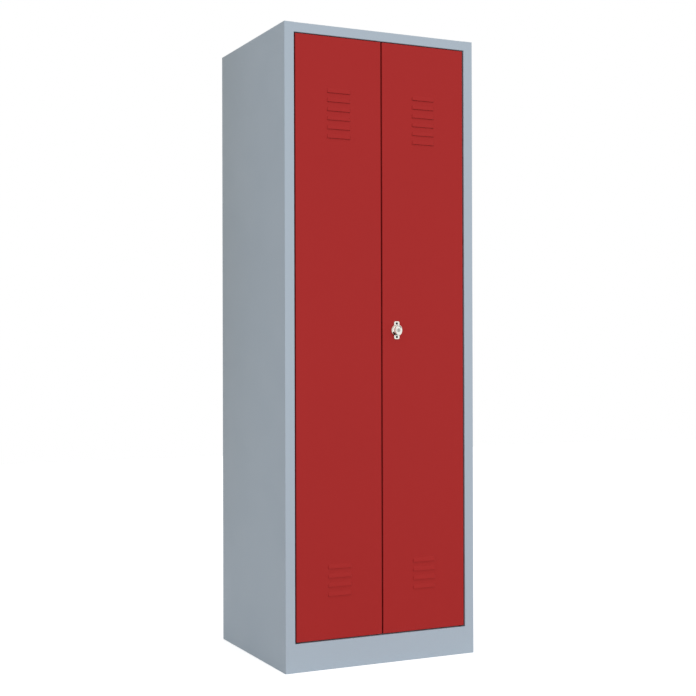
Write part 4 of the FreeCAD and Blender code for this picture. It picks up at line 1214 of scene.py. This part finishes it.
# %% Key plug
KEYWAY_W = 0.0016
KEYWAY_H = 0.0065
KEYWAY_D = 0.004
PLUG_ROUND = 0.0005
plug = lock_drill(0, (plug_high.x - plug_low.x) / 2, plug_low.y, plug_high.y, "slotted_plug")
rounded_edges(plug, flat_at("Y", plug_low.y), PLUG_ROUND)
way_low = (LOCK.x - KEYWAY_W / 2, plug_low.y - CUT_PAST, LOCK.z - KEYWAY_H / 2)
way_high = (LOCK.x + KEYWAY_W / 2, plug_low.y + KEYWAY_D, LOCK.z + KEYWAY_H / 2)
carve(plug, [block("keyway", way_low, way_high)])
done(plug, "key_plug", "key_plug")

# %% [markdown]
# Light. The photograph has plain, even studio light and a pure white ground. The world gives a soft fill
# from all round, and a broad sun from the front right makes the front lighter than the left side. A sun
# lights a tall flat front alike from top to bottom, which a lamp nearby can't do. The camera, mirrors and
# glass see the world as white, through Light Path, and this adds no light. The floor is a white plane
# that keeps a faint shadow.

# %% World and sun
FILL = 0.66
KEY_TOWARDS = (0.45, -2.6, 0.9)
KEY_STRENGTH = 1.07
KEY_SPREAD_DEG = 40
scene.view_settings.view_transform = "Standard"
world = bpy.data.worlds.new("white_studio")
world.use_nodes = True
scene.world = world


def seen_directly(tree):
    """A factor that is one for camera, glossy and transmission rays."""
    path = tree.nodes.new("ShaderNodeLightPath")
    total = path.outputs["Is Camera Ray"]
    for kind in ("Is Glossy Ray", "Is Transmission Ray"):
        add = tree.nodes.new("ShaderNodeMath")
        add.operation = "MAXIMUM"
        tree.links.new(total, add.inputs[0])
        tree.links.new(path.outputs[kind], add.inputs[1])
        total = add.outputs["Value"]
    return total


def mixed(tree, factor, first, second, output):
    """Links a mix of two shaders to an output."""
    node = tree.nodes.new("ShaderNodeMixShader")
    tree.links.new(factor, node.inputs["Fac"])
    tree.links.new(first, node.inputs[1])
    tree.links.new(second, node.inputs[2])
    tree.links.new(node.outputs["Shader"], output)


tree = world.node_tree
fill = tree.nodes["Background"]
fill.inputs["Color"].default_value = (1, 1, 1, 1)
fill.inputs["Strength"].default_value = FILL
white = tree.nodes.new("ShaderNodeBackground")
white.inputs["Color"].default_value = (1, 1, 1, 1)
white.inputs["Strength"].default_value = 1.0
world_out = tree.nodes["World Output"].inputs["Surface"]
mixed(tree, seen_directly(tree), fill.outputs["Background"], white.outputs["Background"], world_out)

sun = bpy.data.lights.new("key", "SUN")
sun.energy = KEY_STRENGTH
sun.angle = math.radians(KEY_SPREAD_DEG)
key = bpy.data.objects.new("key", sun)
scene.collection.objects.link(key)
key.rotation_euler = Vector(KEY_TOWARDS).to_track_quat("Z", "Y").to_euler()
key.visible_glossy = False
print("fill:", FILL, "key:", KEY_STRENGTH)

# %% Floor
FLOOR_SIZE = 14
FLOOR_SHADE = 0.8
FLOOR_ROUGH = 0.9
GLOW = 0.6
fresh()
bpy.ops.mesh.primitive_plane_add(size=FLOOR_SIZE, location=(0, 0, 0))
floor = bpy.context.object
floor.name = "studio_floor"
white_floor = bpy.data.materials.new("white_floor")
white_floor.use_nodes = True
tree = white_floor.node_tree
paint = tree.nodes["Principled BSDF"]
paint.inputs["Base Color"].default_value = (FLOOR_SHADE, FLOOR_SHADE, FLOOR_SHADE, 1)
paint.inputs["Roughness"].default_value = FLOOR_ROUGH
paint.inputs["Emission Color"].default_value = (1, 1, 1, 1)
glow = tree.nodes.new("ShaderNodeMath")
glow.operation = "MULTIPLY"
glow.inputs[1].default_value = GLOW
tree.links.new(seen_directly(tree), glow.inputs[0])
tree.links.new(glow.outputs["Value"], paint.inputs["Emission Strength"])
floor.data.materials.append(white_floor)
print("floor:", FLOOR_SIZE, "m, glow:", GLOW)

# %% [markdown]
# Cards. Chrome only shows what stands round it, and in an all-white room it turns into a white blot. A
# photographer lays a black card in front of the object, just out of the picture, and its reflection
# draws dark edges into the metal. A brown card stands to the left behind the object and takes some of
# the fill, so the side grows a little darker and warmer towards the back. The camera sees neither.

# %% Cards
def card(name, low, high, colour, in_mirrors):
    """A thin card that shows in mirrors alone, or else takes up soft light alone."""
    piece = block(name, low, high)
    paper = bpy.data.materials.new(name)
    paper.use_nodes = True
    shader = paper.node_tree.nodes["Principled BSDF"]
    shader.inputs["Base Color"].default_value = (*colour, 1)
    shader.inputs["Specular IOR Level"].default_value = 0.0
    piece.data.materials.append(paper)
    piece.visible_camera = False
    piece.visible_transmission = False
    piece.visible_glossy = in_mirrors
    piece.visible_diffuse = not in_mirrors
    piece.visible_shadow = not in_mirrors
    print(name, [round(side, 3) for side in piece.dimensions])


BLACK_LOW = (-1.7, -2.6, 0.001)
BLACK_HIGH = (1.3, -0.4, 0.003)
BROWN_LOW = (-0.802, 0.35, 0.45)
BROWN_HIGH = (-0.8, 0.85, 2.6)
card("black_card", BLACK_LOW, BLACK_HIGH, (0.01, 0.01, 0.01), in_mirrors=True)
card("brown_card", BROWN_LOW, BROWN_HIGH, (0.28, 0.20, 0.06), in_mirrors=False)
